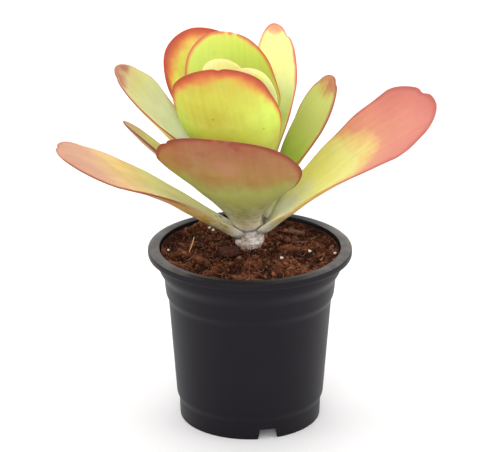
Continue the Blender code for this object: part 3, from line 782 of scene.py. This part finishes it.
def pot_section(settings):
    """The pot's section, from the middle of the inside, up over the lip, down and under."""
    height, wall = settings.height, settings.wall
    rim, collar = settings.rim_radius, settings.collar_radius
    band, foot = settings.band_radius, settings.foot_radius
    lip = rim - collar
    skirt = height - SKIRT
    shoulder = height - SHOULDER
    hub = HUB_SHARE * foot
    floor = CHANNEL_RISE + wall
    inside = rounded(
        [
            (1 * MM, wall, 0),
            (hub - wall, wall, 0.5 * MM),
            (hub - wall, floor, 0.5 * MM),
            (foot + 0.3 * MM - wall, floor, 1.2 * MM),
            (foot + 0.35 * MM - wall, PLINTH - 1.2 * MM, 0),
        ]
    )
    outer = eased((foot + 0.35 * MM, PLINTH - 1.2 * MM), (foot + 1.75 * MM, PLINTH + 4.2 * MM), 8)
    outer += eased((band - 2.15 * MM, shoulder - 4.6 * MM), (band - 0.56 * MM, shoulder + 1.2 * MM), 8)
    outer += [(band - 0.35 * MM, shoulder + 3.2 * MM), (band - 0.1 * MM, height - 19.5 * MM)]
    outer += eased((band, height - 18 * MM), (collar - 0.15 * MM, height - 9.5 * MM), 10)
    inner = [(radius - wall, z) for radius, z in outer]
    mouth = collar - wall
    edge = rounded(
        [
            (mouth, skirt - 3 * MM, 0),
            (mouth + 0.1 * lip, height - 0.3 * MM, 0.5 * MM),
            (rim - 0.5 * lip, height + 0.02 * MM, 0.8 * MM),
            (rim - 0.12 * wall, height - 0.8 * MM, 0.7 * MM),
            (rim - 0.02 * MM, skirt + 0.9 * MM, 0.6 * MM),
            (rim - 0.35 * MM, skirt, 0.3 * MM),
            (rim - 0.95 * wall, skirt, 0.25 * MM),
            (rim - wall, height - 2.3 * MM, 0.6 * MM),
            (rim - 0.5 * lip, height - wall - 0.1 * MM, 0.6 * MM),
            (collar + 0.1 * lip, height - wall - 0.2 * MM, 0.5 * MM),
            (collar, skirt, 1.0 * MM),
            (collar, height - 8 * MM, 0),
        ]
    )
    under = rounded(
        [
            (foot + 0.35 * MM, PLINTH - 1.2 * MM, 0),
            (foot, 0.0, 0.5 * MM),
            (foot - FOOT_RING, 0.0, 0.5 * MM),
            (foot - FOOT_RING, CHANNEL_RISE, 0.5 * MM),
            (hub, CHANNEL_RISE, 0.5 * MM),
            (hub, 0.0, 0.5 * MM),
            (1 * MM, 0.0, 0),
        ]
    )
    return inside + inner[1:] + edge + outer[::-1] + under[1:]


def cut_away(obj, cutter):
    """Takes a cutter's shape out of a piece, and removes the cutter."""
    boolean = obj.modifiers.new("cut", "BOOLEAN")
    boolean.operation = "DIFFERENCE"
    boolean.solver = "EXACT"
    boolean.object = cutter
    apply_modifiers(obj)
    bpy.data.objects.remove(cutter)


def build_pot(settings):
    pot = turned("nursery_pot", pot_section(settings), POT_STEPS)
    foot = settings.foot_radius
    for number in range(NOTCHES):
        heading = radians(NOTCH_HEADING + 360 / NOTCHES * number)
        clear_selection()
        bpy.ops.mesh.primitive_cube_add(size=1.0)
        notch = started("notch")
        bpy.ops.transform.resize(value=(5 * MM, NOTCH_LOW_WIDTH, 6.5 * MM), center_override=(0, 0, 0))
        bpy.ops.transform.translate(value=(foot - 1 * MM, 0, 2.25 * MM))
        bpy.ops.object.transform_apply()
        with editing("DESELECT"):
            pass  # only the top face is picked below
        for face in notch.data.polygons:
            face.select = face.normal.z > 0.9
        with editing():
            narrowing = (1, NOTCH_TOP_WIDTH / NOTCH_LOW_WIDTH, 1)
            bpy.ops.transform.resize(value=narrowing, center_override=(0, 0, 0))
        notch.data.transform(Matrix.Rotation(heading, 4, "Z"))
        cut_away(pot, notch)
    channel = (HUB_SHARE * foot + foot - FOOT_RING) / 2
    for number in range(DRAIN_HOLES):
        heading = 2 * pi * (number + 0.43) / DRAIN_HOLES
        clear_selection()
        bpy.ops.mesh.primitive_cylinder_add(
            vertices=32,
            radius=HOLE_RADIUS,
            depth=6 * MM,
            location=(channel * cos(heading), channel * sin(heading), 6.65 * MM),
        )
        cut_away(pot, started("drain_hole"))
    finished(pot, pot_finish(settings), ["pot"], 32)


# Compost


def compost_height(settings, reach, radius):
    share = min(radius / reach, 1.0)
    brim = min(1.0, max(0.0, (share - 0.89) / 0.08))
    edge = POT_HIGH.z - settings.edge_drop + EDGE_FILL * brim * brim * (3 - 2 * brim)
    return edge + settings.mound * 0.5 * (1 + cos(pi * share))


def build_compost(settings):
    """The bed: turned to the pot's inside, then roughened on top."""
    reach = SOIL_HIGH.x
    section = [(0.3 * MM, compost_height(settings, reach, 0.0))]
    for step in range(1, BED_RINGS + 1):
        radius = reach * step / BED_RINGS
        section.append((radius, compost_height(settings, reach, radius)))
    pot = bpy.context.scene.pot_settings
    wall = pot.wall + WALL_GAP
    hub = HUB_SHARE * pot.foot_radius - wall
    section += [
        (pot.collar_radius - 0.15 * MM - wall, pot.height - 10 * MM),
        (pot.band_radius - wall, pot.height - 18.6 * MM),
        (pot.band_radius - 0.6 * MM - wall, pot.height - 24 * MM),
        (pot.band_radius - 2.2 * MM - wall, pot.height - 30 * MM),
        (pot.foot_radius + 1.6 * MM - wall, 14 * MM),
        (pot.foot_radius + 0.4 * MM - wall, 10 * MM),
        (pot.foot_radius + 0.2 * MM - wall, BED_FLOOR),
        (hub, BED_FLOOR),
        (hub, SOIL_LOW.z),
        (1.0 * MM, SOIL_LOW.z),
    ]
    bed = turned("compost_bed", section, BED_STEPS)
    top = bed.vertex_groups.new(name="top")
    for vertex in bed.data.vertices:
        radius = hypot(vertex.co.x, vertex.co.y)
        if vertex.co.z > pot.height - settings.edge_drop - 0.2 * MM:
            top.add([vertex.index], min(1.0, max(0.0, (reach - radius) / (1.2 * MM))), "REPLACE")
    roughen(bed, 11 * MM, 6.5 * MM, direction="Z", group="top", middle=0.58)
    roughen(bed, 3.4 * MM, 3.6 * MM, direction="Z", group="top", middle=0.57)
    roughen(bed, 1.1 * MM, 1.3 * MM, group="top")
    mesh = bed.data
    heights = np.array([vertex.co.z for vertex in mesh.vertices])
    ideal = np.array([compost_height(settings, reach, hypot(v.co.x, v.co.y)) for v in mesh.vertices])
    # painted shade: the shade value falls where the bed dips below its smooth height and rises where it
    # humps, so the hollows are painted darker and the rises lighter
    shade = np.clip(0.42 + (heights - ideal) / (3.2 * MM), 0.0, 0.8)
    mesh.attributes.new("shade", "FLOAT", "POINT").data.foreach_set("value", shade.astype(np.float32))
    finished(bed, compost_finish("coir_compost"), ["soil"])
    return bed


def crumb_shape(rng, subdivisions, unevenness):
    """Points and faces of one crumb of unit size."""
    clear_selection()
    bpy.ops.mesh.primitive_ico_sphere_add(subdivisions=subdivisions, radius=1.0)
    crumb = started("crumb")
    points = np.array([vertex.co[:] for vertex in crumb.data.vertices])
    faces = [tuple(face.vertices) for face in crumb.data.polygons]
    bpy.data.objects.remove(crumb)
    lengths = rng.uniform(1 - unevenness, 1 + unevenness, (len(points), 1))
    return points * lengths * rng.uniform((0.8, 0.6, 0.5), (1.3, 1.0, 0.85)), faces


def random_turn(rng):
    turn = Matrix.Rotation(rng.uniform(0, 2 * pi), 3, "Z") @ Matrix.Rotation(rng.uniform(-0.7, 0.7), 3, "X")
    return np.array(turn @ Matrix.Rotation(rng.uniform(0, 2 * pi), 3, "Y"))


def scattered(rng, count, reach, keep_off):
    """Places spread evenly over the bed, clear of the stem."""
    places = []
    back = bpy.context.scene.stem_settings.back
    while len(places) < count:
        radius, heading = reach * rng.uniform() ** 0.5, rng.uniform(0, 2 * pi)
        x, y = radius * cos(heading), radius * sin(heading)
        if hypot(x, y - back) > keep_off:
            places.append((x, y))
    return places


def build_crumbs(settings, tree):
    rng = np.random.default_rng(CRUMB_SEED)
    reach = SOIL_HIGH.x
    shapes = []
    for count, smallest, largest, subdivisions, margin in (
        (settings.lumps, 0.7, 1.7, 2, 2.0),
        (settings.crumbs, 0.22, 0.7, 1, 0.6),
    ):
        kinds = [crumb_shape(rng, subdivisions, 0.25) for _ in range(CRUMB_KINDS)]
        for x, y in scattered(rng, count, reach - margin * MM, 7.2 * MM):
            points, faces = kinds[rng.integers(CRUMB_KINDS)]
            size = rng.uniform(smallest, largest) * MM
            ground = drop(tree, x, y)
            corners = points @ random_turn(rng).T * size
            corners = corners + np.array([x, y, ground.z + rng.uniform(-0.2, 0.35) * size])
            shapes.append((corners, faces, float(np.clip(rng.normal(0.5, 0.2), 0.05, 1.0))))
    crumbs = gathered("compost_crumbs", shapes)
    finished(crumbs, compost_finish("coir_crumbs"), [], 40)


def build_fibres(settings, tree):
    """Fine rusty coir fibres that lie on the bed and stick out of it a little."""
    rng = np.random.default_rng(FIBRE_SEED)
    reach = SOIL_HIGH.x
    shapes = []
    for x, y in scattered(rng, settings.fibres, reach - 2.5 * MM, 8.0 * MM):
        heading, bend = rng.uniform(0, 2 * pi), rng.uniform(-0.5, 0.5)
        length = rng.uniform(2.0, 6.5) * MM
        lift = rng.uniform(0.0, 0.45) * length
        points = []
        px, py = x, y
        for step in range(FIBRE_STEPS + 1):
            share = step / FIBRE_STEPS
            ground = drop(tree, px, py)
            if ground is None:
                break
            points.append((px, py, ground.z + 0.1 * MM + lift * share * share * 0.6))
            px += length / FIBRE_STEPS * cos(heading + bend * share * 3)
            py += length / FIBRE_STEPS * sin(heading + bend * share * 3)
            if hypot(px, py) > reach - 0.8 * MM:
                break
        if len(points) < 4:
            continue
        thick = rng.uniform(0.06, 0.17) * MM
        radii = [thick * (1 - 0.6 * i / len(points)) for i in range(len(points))]
        corners, faces = tube(points, radii, 4)
        shapes.append((corners, faces, float(rng.uniform(0.45, 1.15))))
    fibres = gathered("coir_fibres", shapes)
    finished(fibres, compost_finish("coir_fibre", 0.08), [])


def centre_of(node):
    """The middle of a node's box and its size."""
    low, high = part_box(node)
    return (low + high) / 2, high - low


def build_perlite():
    finish = perlite_finish()
    for number in range(1, PERLITE_GRAINS + 1):
        centre, size = centre_of(f"perlite_{number}")
        clear_selection()
        bpy.ops.mesh.primitive_ico_sphere_add(subdivisions=4, radius=size.x * PERLITE_SHARE, location=centre)
        grain = started(f"perlite_grain_{number}")
        bpy.ops.transform.resize(value=(1.1, 0.9, 0.85))
        bpy.ops.object.transform_apply()
        roughen(grain, 0.9 * MM, 0.9 * MM)
        roughen(grain, 0.3 * MM, 0.25 * MM, "VORONOI")
        finished(grain, finish, [f"perlite_{number}"])


def build_bark():
    for node, turn, size, dark, light in (
        ("bark_lump", 25, (9.2, 7.0, 4.6), "#27120c", "#583024"),
        ("bark_flake", -20, (9.5, 3.6, 1.7), "#42291c", "#785238"),
    ):
        centre = centre_of(node)[0]
        clear_selection()
        bpy.ops.mesh.primitive_cube_add(size=1.0)
        bark = started(f"{node}_piece")
        bpy.ops.transform.resize(value=[side * MM for side in size], center_override=(0, 0, 0))
        bpy.ops.object.transform_apply()
        with editing("SELECT"):
            bpy.ops.mesh.subdivide(number_cuts=18)
        for vertex in bark.data.vertices:
            x, y, z = (vertex.co[i] / (size[i] * MM / 2) for i in range(3))
            length = sum(abs(side) ** BARK_SQUARENESS for side in (x, y, z)) ** (1 / BARK_SQUARENESS)
            vertex.co /= length
            vertex.co.y *= 1 - 0.18 * x
            vertex.co.z *= 1 - 0.2 * y * x
        bark.data.transform(Matrix.Translation(centre) @ Matrix.Rotation(radians(turn), 4, "Z"))
        roughen(bark, 3.0 * MM, 0.30 * min(size) * MM)
        roughen(bark, 0.8 * MM, 0.10 * min(size) * MM)
        finished(bark, bark_finish(f"{node}_grain", dark, light), [node])


def build_straw():
    """A pale split straw that lies across the crumbs."""
    centre, size = centre_of("straw")
    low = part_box("straw")[0]
    points, radii = [], []
    for step in range(STRAW_STEPS):
        share = step / (STRAW_STEPS - 1)
        x = low.x + STRAW_HALF_WIDTH + (size.x - 2 * STRAW_HALF_WIDTH) * (1 - (1 - share) ** 1.7)
        y = low.y + size.y * share
        points.append((x, y, centre.z + 0.5 * MM + 0.5 * MM * sin(pi * share)))
        radii.append(STRAW_HALF_WIDTH * (0.75 + 0.35 * sin(pi * share)))
    corners, faces = tube(points, radii, 10, 0.5)
    straw = gathered("straw_piece", [(corners, faces, 0.5)])
    finished(straw, straw_finish(), ["straw"], 50)


# Stem


def stem_radius(rise):
    """Radius of the stem at a height above the lowest leaf, in leaf thicknesses."""
    return float(np.interp(rise, STEM_RISES, STEM_RADII)) * MM


def build_stem(settings):
    """Bare scarred stem, its tip inside the rosette and its root in the compost."""
    leaf = bpy.context.scene.leaf_settings
    crown = leaf.crown
    top = crown + STEM_RISES[-1] * leaf.thickness
    tip = stem_radius(STEM_RISES[-1])
    section = [(0.5 * MM, top), (tip * 0.5, top - 0.05 * MM), (tip * 0.85, top - 0.5 * MM)]
    for step in range(24):
        rise = 8.8 * (1 - step / 23)
        section.append((stem_radius(rise), crown + rise * leaf.thickness))
    ground = SOIL_HIGH.z
    for step in range(1, 19):
        share = step / 18
        scar = 0.16 * MM * cos(2 * pi * 2.1 * share + 0.6) + 0.7 * MM * share**3
        section.append((settings.radius + scar, crown - share * (crown - ground)))
    depth = ground - STEM_LOW.z
    for share, width in (
        (0.06, 1.0), (0.12, 0.92), (0.22, 0.8), (0.35, 0.68), (0.5, 0.54), (0.7, 0.4), (0.97, 0.16),
    ):
        section.append((settings.radius * width, ground - share * depth))
    section.append((0.6 * MM, STEM_LOW.z))
    stem = turned("scarred_stem", section, STEM_STEPS)
    roughen(stem, 4.2 * MM, 2.2 * MM)
    roughen(stem, 1.9 * MM, 1.1 * MM)
    roughen(stem, 0.7 * MM, 0.4 * MM)
    roots = []
    for number in range(SIDE_ROOTS):
        heading = 2 * pi * (number + 0.3) / SIDE_ROOTS
        start = ground - depth * (0.16 + 0.05 * (number % 3))
        points, radii = [], []
        for step in range(9):
            share = step / 8
            reach = 19 * MM * sin(share * pi / 2)
            sunk = 24 * MM * (1 - cos(share * pi / 2))
            points.append((reach * cos(heading), reach * sin(heading), start - sunk))
            radii.append(1.6 * MM * (1 - 0.6 * share))
        roots.append((*tube(points, radii, 10), 0.5))
    side_roots = gathered("side_roots", roots)
    take(stem)
    side_roots.select_set(True)
    bpy.ops.object.join()
    stem.data.transform(Matrix.Translation((0, settings.back, 0)))
    finished(stem, stem_finish(), ["stem"])


# Leaves


def blade_share(leaf, v):
    """The blade's width at shares v of its length, as a share of its full width."""
    base = leaf.base / leaf.width
    lower = base + (1 - base) * (0.5 - 0.5 * np.cos(pi * v / leaf.broadest))
    toward_tip = np.clip((v - leaf.broadest) / (1 - leaf.broadest), 0, None)
    upper = np.clip(1 - toward_tip**leaf.fullness, 0, None) ** (1 / leaf.fullness)
    return np.where(v < leaf.broadest, lower, upper)


def keel_share(v):
    fading = np.clip((v - KEEL_PEAK) / (KEEL_END - KEEL_PEAK), 0, 1)
    return np.where(v < KEEL_PEAK, 0.5 + 0.5 * v / KEEL_PEAK, np.cos(pi / 2 * fading) ** 2)


def directions(leaf, v):
    """Unit vectors along, out of and across the blade at shares v of its length."""
    pitch = np.radians(leaf.pitch[0] + (leaf.pitch[1] - leaf.pitch[0]) * v)
    heading = np.radians(leaf.heading + leaf.swing * v)
    flat = np.stack([np.cos(heading), np.sin(heading), 0 * v], -1)
    up = np.array([0.0, 0.0, 1.0])
    along = flat * np.cos(pitch)[:, None] + up * np.sin(pitch)[:, None]
    out = up * np.cos(pitch)[:, None] - flat * np.sin(pitch)[:, None]
    across = np.cross(along, out)
    twist = np.radians(leaf.twist[0] + (leaf.twist[1] - leaf.twist[0]) * v) * np.clip(v / 0.15, 0, 1)
    c, s = np.cos(twist)[:, None], np.sin(twist)[:, None]
    return along, out * c + across * s, across * c - out * s


def midrib(leaf, v, settings):
    """The middle of the blade at shares v of its length."""
    grid = np.linspace(0, 1, MIDRIB_STEPS + 1)
    along = directions(leaf, (grid[:-1] + grid[1:]) / 2)[0]
    pitch, heading = radians(leaf.pitch[0]), radians(leaf.heading)
    reach = stem_radius(leaf.rise) + LEAF_GAP + 0.5 * settings.thickness * sin(pitch)
    back = bpy.context.scene.stem_settings.back
    start = np.array(
        [reach * cos(heading), back + reach * sin(heading), settings.crown + leaf.rise * settings.thickness]
    )
    line = np.concatenate([[start], along * leaf.length * MM / MIDRIB_STEPS]).cumsum(0)
    inside = np.stack([np.interp(v, grid, line[:, axis]) for axis in range(3)], -1)
    return inside + np.clip(v, None, 0)[:, None] * along[0] * leaf.length * MM


def ripple(x, y, seed):
    """A gentle wave with no pattern to it, from -1 to 1."""
    a, b, c = 1.7 * seed, 2.9 * seed + 1.0, 4.3 * seed + 2.0
    waves = np.sin(0.21 * x + 0.13 * y + a), np.sin(0.09 * x - 0.19 * y + b), np.sin(0.05 * x + 0.31 * y + c)
    return (waves[0] + waves[1] + waves[2]) / 3


def leaf_points(number, leaf, u, v, side, settings):
    """Places on the blade's skin, and its flat pattern: across, along and distance from the edge."""
    half_width = leaf.width / 2 * blade_share(leaf, v)
    waves = 1 + WAVE_DEPTH * np.sin(WAVE_RATE * v * leaf.length + 2.1 * number)
    x, y = u * (half_width * waves), v * leaf.length
    middle = leaf.broadest * leaf.length
    for nick_side, share, width, depth in NICKS.get(leaf.name, ()):
        nick_v = np.array([share])
        at = np.array([nick_side * leaf.width / 2 * blade_share(leaf, nick_v)[0], share * leaf.length])
        inward = np.array([0.0, middle]) - at
        inward /= np.linalg.norm(inward)
        push = depth * np.exp(-((x - at[0]) ** 2 + (y - at[1]) ** 2) / width**2)
        x, y = x + inward[0] * push, y + inward[1] * push
    shares = np.linspace(0, 1, EDGE_STEPS)
    edge_x, edge_y = leaf.width / 2 * blade_share(leaf, shares), shares * leaf.length
    flat = np.stack([u * half_width, v * leaf.length], -1)
    edge = np.full(len(u), 1e9)
    for sign in (1, -1):
        line = np.stack([sign * edge_x, edge_y], -1)
        for first in range(0, len(u), BATCH):
            some = slice(first, first + BATCH)
            away = np.sqrt(((flat[some, None] - line[None]) ** 2).sum(-1)).min(1)
            edge[some] = np.minimum(edge[some], away)
    v = y / leaf.length
    _, out, across = directions(leaf, v)
    toward = np.clip(v / leaf.broadest, 0, 1)
    wrap = np.radians(BASE_WRAP + (leaf.cup - BASE_WRAP) * toward)
    bend = leaf.width / 2 * blade_share(leaf, np.minimum(v, leaf.broadest)) / wrap
    closing = np.sqrt(np.clip(1 - np.clip(v, 0, 1) ** TIP_CLOSING, 0, None))
    half = settings.thickness / MM / 2 * (1 - TIP_THINNING * v) * closing
    rise = side * half * np.sqrt(np.clip(1 - np.abs(u) ** EDGE_ROUNDNESS, 0, None))
    rise -= np.where(side < 0, leaf.keel * keel_share(v) * (1 - u * u), 0)
    rise += RIPPLE_HEIGHT * ripple(x, y, number + 1) * (1 - u * u)
    angle = x / bend
    normal = out * np.cos(angle)[:, None] - across * np.sin(angle)[:, None]
    shape = across * (bend * np.sin(angle))[:, None] + out * (bend * (1 - np.cos(angle)))[:, None]
    points = midrib(leaf, v, settings) + (shape + normal * rise[:, None]) * MM
    return points, np.stack([x, y, edge], -1)


def build_leaf(number, leaf, settings):
    """A ball with a column for each line of the blade, drawn out into the paddle."""
    clear_selection()
    bpy.ops.mesh.primitive_uv_sphere_add(segments=LEAF_COLUMNS, ring_count=LEAF_SECTIONS, radius=1.0)
    obj = started(f"{leaf.name}_blade")
    ball = np.array([vertex.co[:] for vertex in obj.data.vertices])
    turn = np.arctan2(ball[:, 1], ball[:, 0])
    ring = np.round(np.arccos(np.clip(ball[:, 2], -1, 1)) / pi * LEAF_SECTIONS)
    u, side = np.cos(turn), np.where(np.sin(turn) >= -1e-6, 1.0, -1.0)
    start = -BASE_REACH / (leaf.length * MM)
    toward = np.clip(1 - ring / (LEAF_SECTIONS - 1), 0, 1)
    v = start + (1 - start) * np.sin(pi / 2 * toward) ** 0.9
    pole = (ring == 0) | (ring == LEAF_SECTIONS)
    u = np.where(pole, 0.0, u)
    points, blade = leaf_points(number, leaf, u, v, side, settings)
    middles = ring == LEAF_SECTIONS
    points[middles] = midrib(leaf, v[middles], settings)
    mesh = obj.data
    mesh.vertices.foreach_set("co", points.ravel())
    pattern = mesh.attributes.new("blade", "FLOAT_VECTOR", "POINT").data
    pattern.foreach_set("vector", blade.astype(np.float32).ravel())
    near_edge = np.clip(np.sqrt(np.clip(1 - np.abs(u) ** EDGE_ROUNDNESS, 0, None)) * 2.5, 0, 1)
    face = 0.5 + 0.5 * side * near_edge
    mesh.attributes.new("face", "FLOAT", "POINT").data.foreach_set("value", face.astype(np.float32))
    mesh.update()
    with editing("SELECT"):
        bpy.ops.mesh.normals_make_consistent(inside=False)
    finished(obj, leaf_finish(number, leaf), [leaf.name])


# Stage


# Each softbox's name, place, width and depth in metres, and power in watts. All face the plant.
SOFTBOXES = (
    ("overhead_softbox", (-0.1, 0.55, 1.4), (1.6, 1.4), 8),
    ("left_softbox", (-1.5, -0.5, 0.7), (1.0, 1.2), 5.5),
    ("right_softbox", (1.5, -0.5, 0.7), (1.0, 1.2), 6.5),
    ("front_softbox", (-0.2, -2.1, 1.15), (1.5, 1.0), 18),
)
PLANT_MIDDLE = (0, 0, 0.1)
CAMERA_PLACE = (0, -1.3997, 0.6441)
CAMERA_TILT = 68.93  # degrees up from straight down
CAMERA_LENS = 208.26  # millimetres


def area_light(name, place, size, power):
    light = bpy.data.lights.new(name, "AREA")
    light.shape = "RECTANGLE"
    light.size, light.size_y = size
    light.energy = power
    obj = bpy.data.objects.new(name, light)
    obj.location = place
    obj.rotation_euler = (Vector(PLANT_MIDDLE) - Vector(place)).to_track_quat("-Z", "Y").to_euler()
    bpy.context.scene.collection.objects.link(obj)


def build_stage(settings):
    clear_selection()
    bpy.ops.mesh.primitive_circle_add(vertices=96, radius=0.6, fill_type="NGON")
    floor = started("studio_floor")
    with editing("SELECT"):
        bpy.ops.mesh.extrude_region_move(TRANSFORM_OT_translate={"value": (0, 0, -0.004)})
        bpy.ops.transform.resize(value=(9, 9, 1), center_override=(0, 0, 0))
        bpy.ops.mesh.delete(type="ONLY_FACE")
    glow = Finish("pale_floor", Roughness=0.9, Specular_IOR_Level=0.1, Emission_Strength=settings.glow)
    glow.shader.inputs["Emission Color"].default_value = (1.0, 0.99, 0.985, 1.0)
    glow.finish((*settings.floor, 1.0))
    floor.data.materials.append(glow.material)

    world = bpy.data.worlds.new("studio_air")
    world.use_nodes = True
    nodes, links = world.node_tree.nodes, world.node_tree.links
    background = nodes["Background"]
    background.inputs["Color"].default_value = (1.0, 0.995, 0.99, 1.0)
    depth = nodes.new("ShaderNodeSeparateXYZ")
    links.new(nodes.new("ShaderNodeTexCoord").outputs["Generated"], depth.inputs[0])
    behind = nodes.new("ShaderNodeMapRange")
    behind.inputs["From Min"].default_value = -1.0
    behind.inputs["To Min"].default_value = 0.9 * settings.sky
    behind.inputs["To Max"].default_value = 1.4 * settings.sky
    links.new(depth.outputs["Y"], behind.inputs["Value"])
    links.new(behind.outputs[0], background.inputs["Strength"])
    bpy.context.scene.world = world
    for softbox in SOFTBOXES:
        area_light(*softbox)

    lens = bpy.data.cameras.new("camera")
    lens.lens = CAMERA_LENS
    lens.sensor_width = 36
    lens.clip_start, lens.clip_end = 0.05, 20
    camera = bpy.data.objects.new("camera", lens)
    camera.location = CAMERA_PLACE
    camera.rotation_euler = (radians(CAMERA_TILT), 0, 0)
    bpy.context.scene.collection.objects.link(camera)
    bpy.context.scene.camera = camera
    bpy.context.scene.view_settings.view_transform = "Standard"


# Operators


class BuildPot(bpy.types.Operator):
    """Moulds the nursery pot"""

    bl_idname = "kalanchoe.build_pot"
    bl_label = "Pot"

    def execute(self, context):
        build_pot(context.scene.pot_settings)
        return {"FINISHED"}


class BuildCompost(bpy.types.Operator):
    """Fills the pot with compost, with its crumbs, fibres, perlite, bark and straw"""

    bl_idname = "kalanchoe.build_compost"
    bl_label = "Compost"

    def execute(self, context):
        settings = context.scene.compost_settings
        bed = build_compost(settings)
        tree = ray_tree(bed)
        build_crumbs(settings, tree)
        build_fibres(settings, tree)
        build_perlite()
        build_bark()
        build_straw()
        return {"FINISHED"}


class BuildStem(bpy.types.Operator):
    """Grows the bare stem and its root"""

    bl_idname = "kalanchoe.build_stem"
    bl_label = "Stem"

    def execute(self, context):
        build_stem(context.scene.stem_settings)
        return {"FINISHED"}


class BuildLeaves(bpy.types.Operator):
    """Grows the rosette of leaves"""

    bl_idname = "kalanchoe.build_leaves"
    bl_label = "Leaves"

    def execute(self, context):
        for number, leaf in enumerate(LEAVES):
            build_leaf(number, leaf, context.scene.leaf_settings)
        return {"FINISHED"}


class BuildStage(bpy.types.Operator):
    """Sets up the floor, lights and camera"""

    bl_idname = "kalanchoe.build_stage"
    bl_label = "Stage"

    def execute(self, context):
        build_stage(context.scene.stage_settings)
        return {"FINISHED"}


class KalanchoePanel(bpy.types.Panel):
    bl_idname = "VIEW3D_PT_kalanchoe"
    bl_label = "Potted kalanchoe"
    bl_space_type = "VIEW_3D"
    bl_region_type = "UI"
    bl_category = "Kalanchoe"

    def draw(self, context):
        for operator, settings in STEPS:
            box = self.layout.box()
            box.operator(operator.bl_idname)
            group = getattr(context.scene, settings)
            for name in group.bl_rna.properties.keys():
                if name not in ("rna_type", "name"):
                    box.prop(group, name)


SETTINGS = {
    "pot_settings": PotSettings,
    "compost_settings": CompostSettings,
    "stem_settings": StemSettings,
    "leaf_settings": LeafSettings,
    "stage_settings": StageSettings,
}
STEPS = (
    (BuildPot, "pot_settings"),
    (BuildCompost, "compost_settings"),
    (BuildStem, "stem_settings"),
    (BuildLeaves, "leaf_settings"),
    (BuildStage, "stage_settings"),
)


def register():
    for name, group in SETTINGS.items():
        bpy.utils.register_class(group)
        setattr(bpy.types.Scene, name, PointerProperty(type=group))
    for operator, _ in STEPS:
        bpy.utils.register_class(operator)
    bpy.utils.register_class(KalanchoePanel)


def unregister():
    bpy.utils.unregister_class(KalanchoePanel)
    for operator, _ in reversed(STEPS):
        bpy.utils.unregister_class(operator)
    for name, group in reversed(SETTINGS.items()):
        delattr(bpy.types.Scene, name)
        bpy.utils.unregister_class(group)


def main():
    register()
    bpy.ops.kalanchoe.build_pot()
    bpy.ops.kalanchoe.build_compost()
    bpy.ops.kalanchoe.build_stem()
    bpy.ops.kalanchoe.build_leaves()
    bpy.ops.kalanchoe.build_stage()


if __name__ == "__main__":
    main()
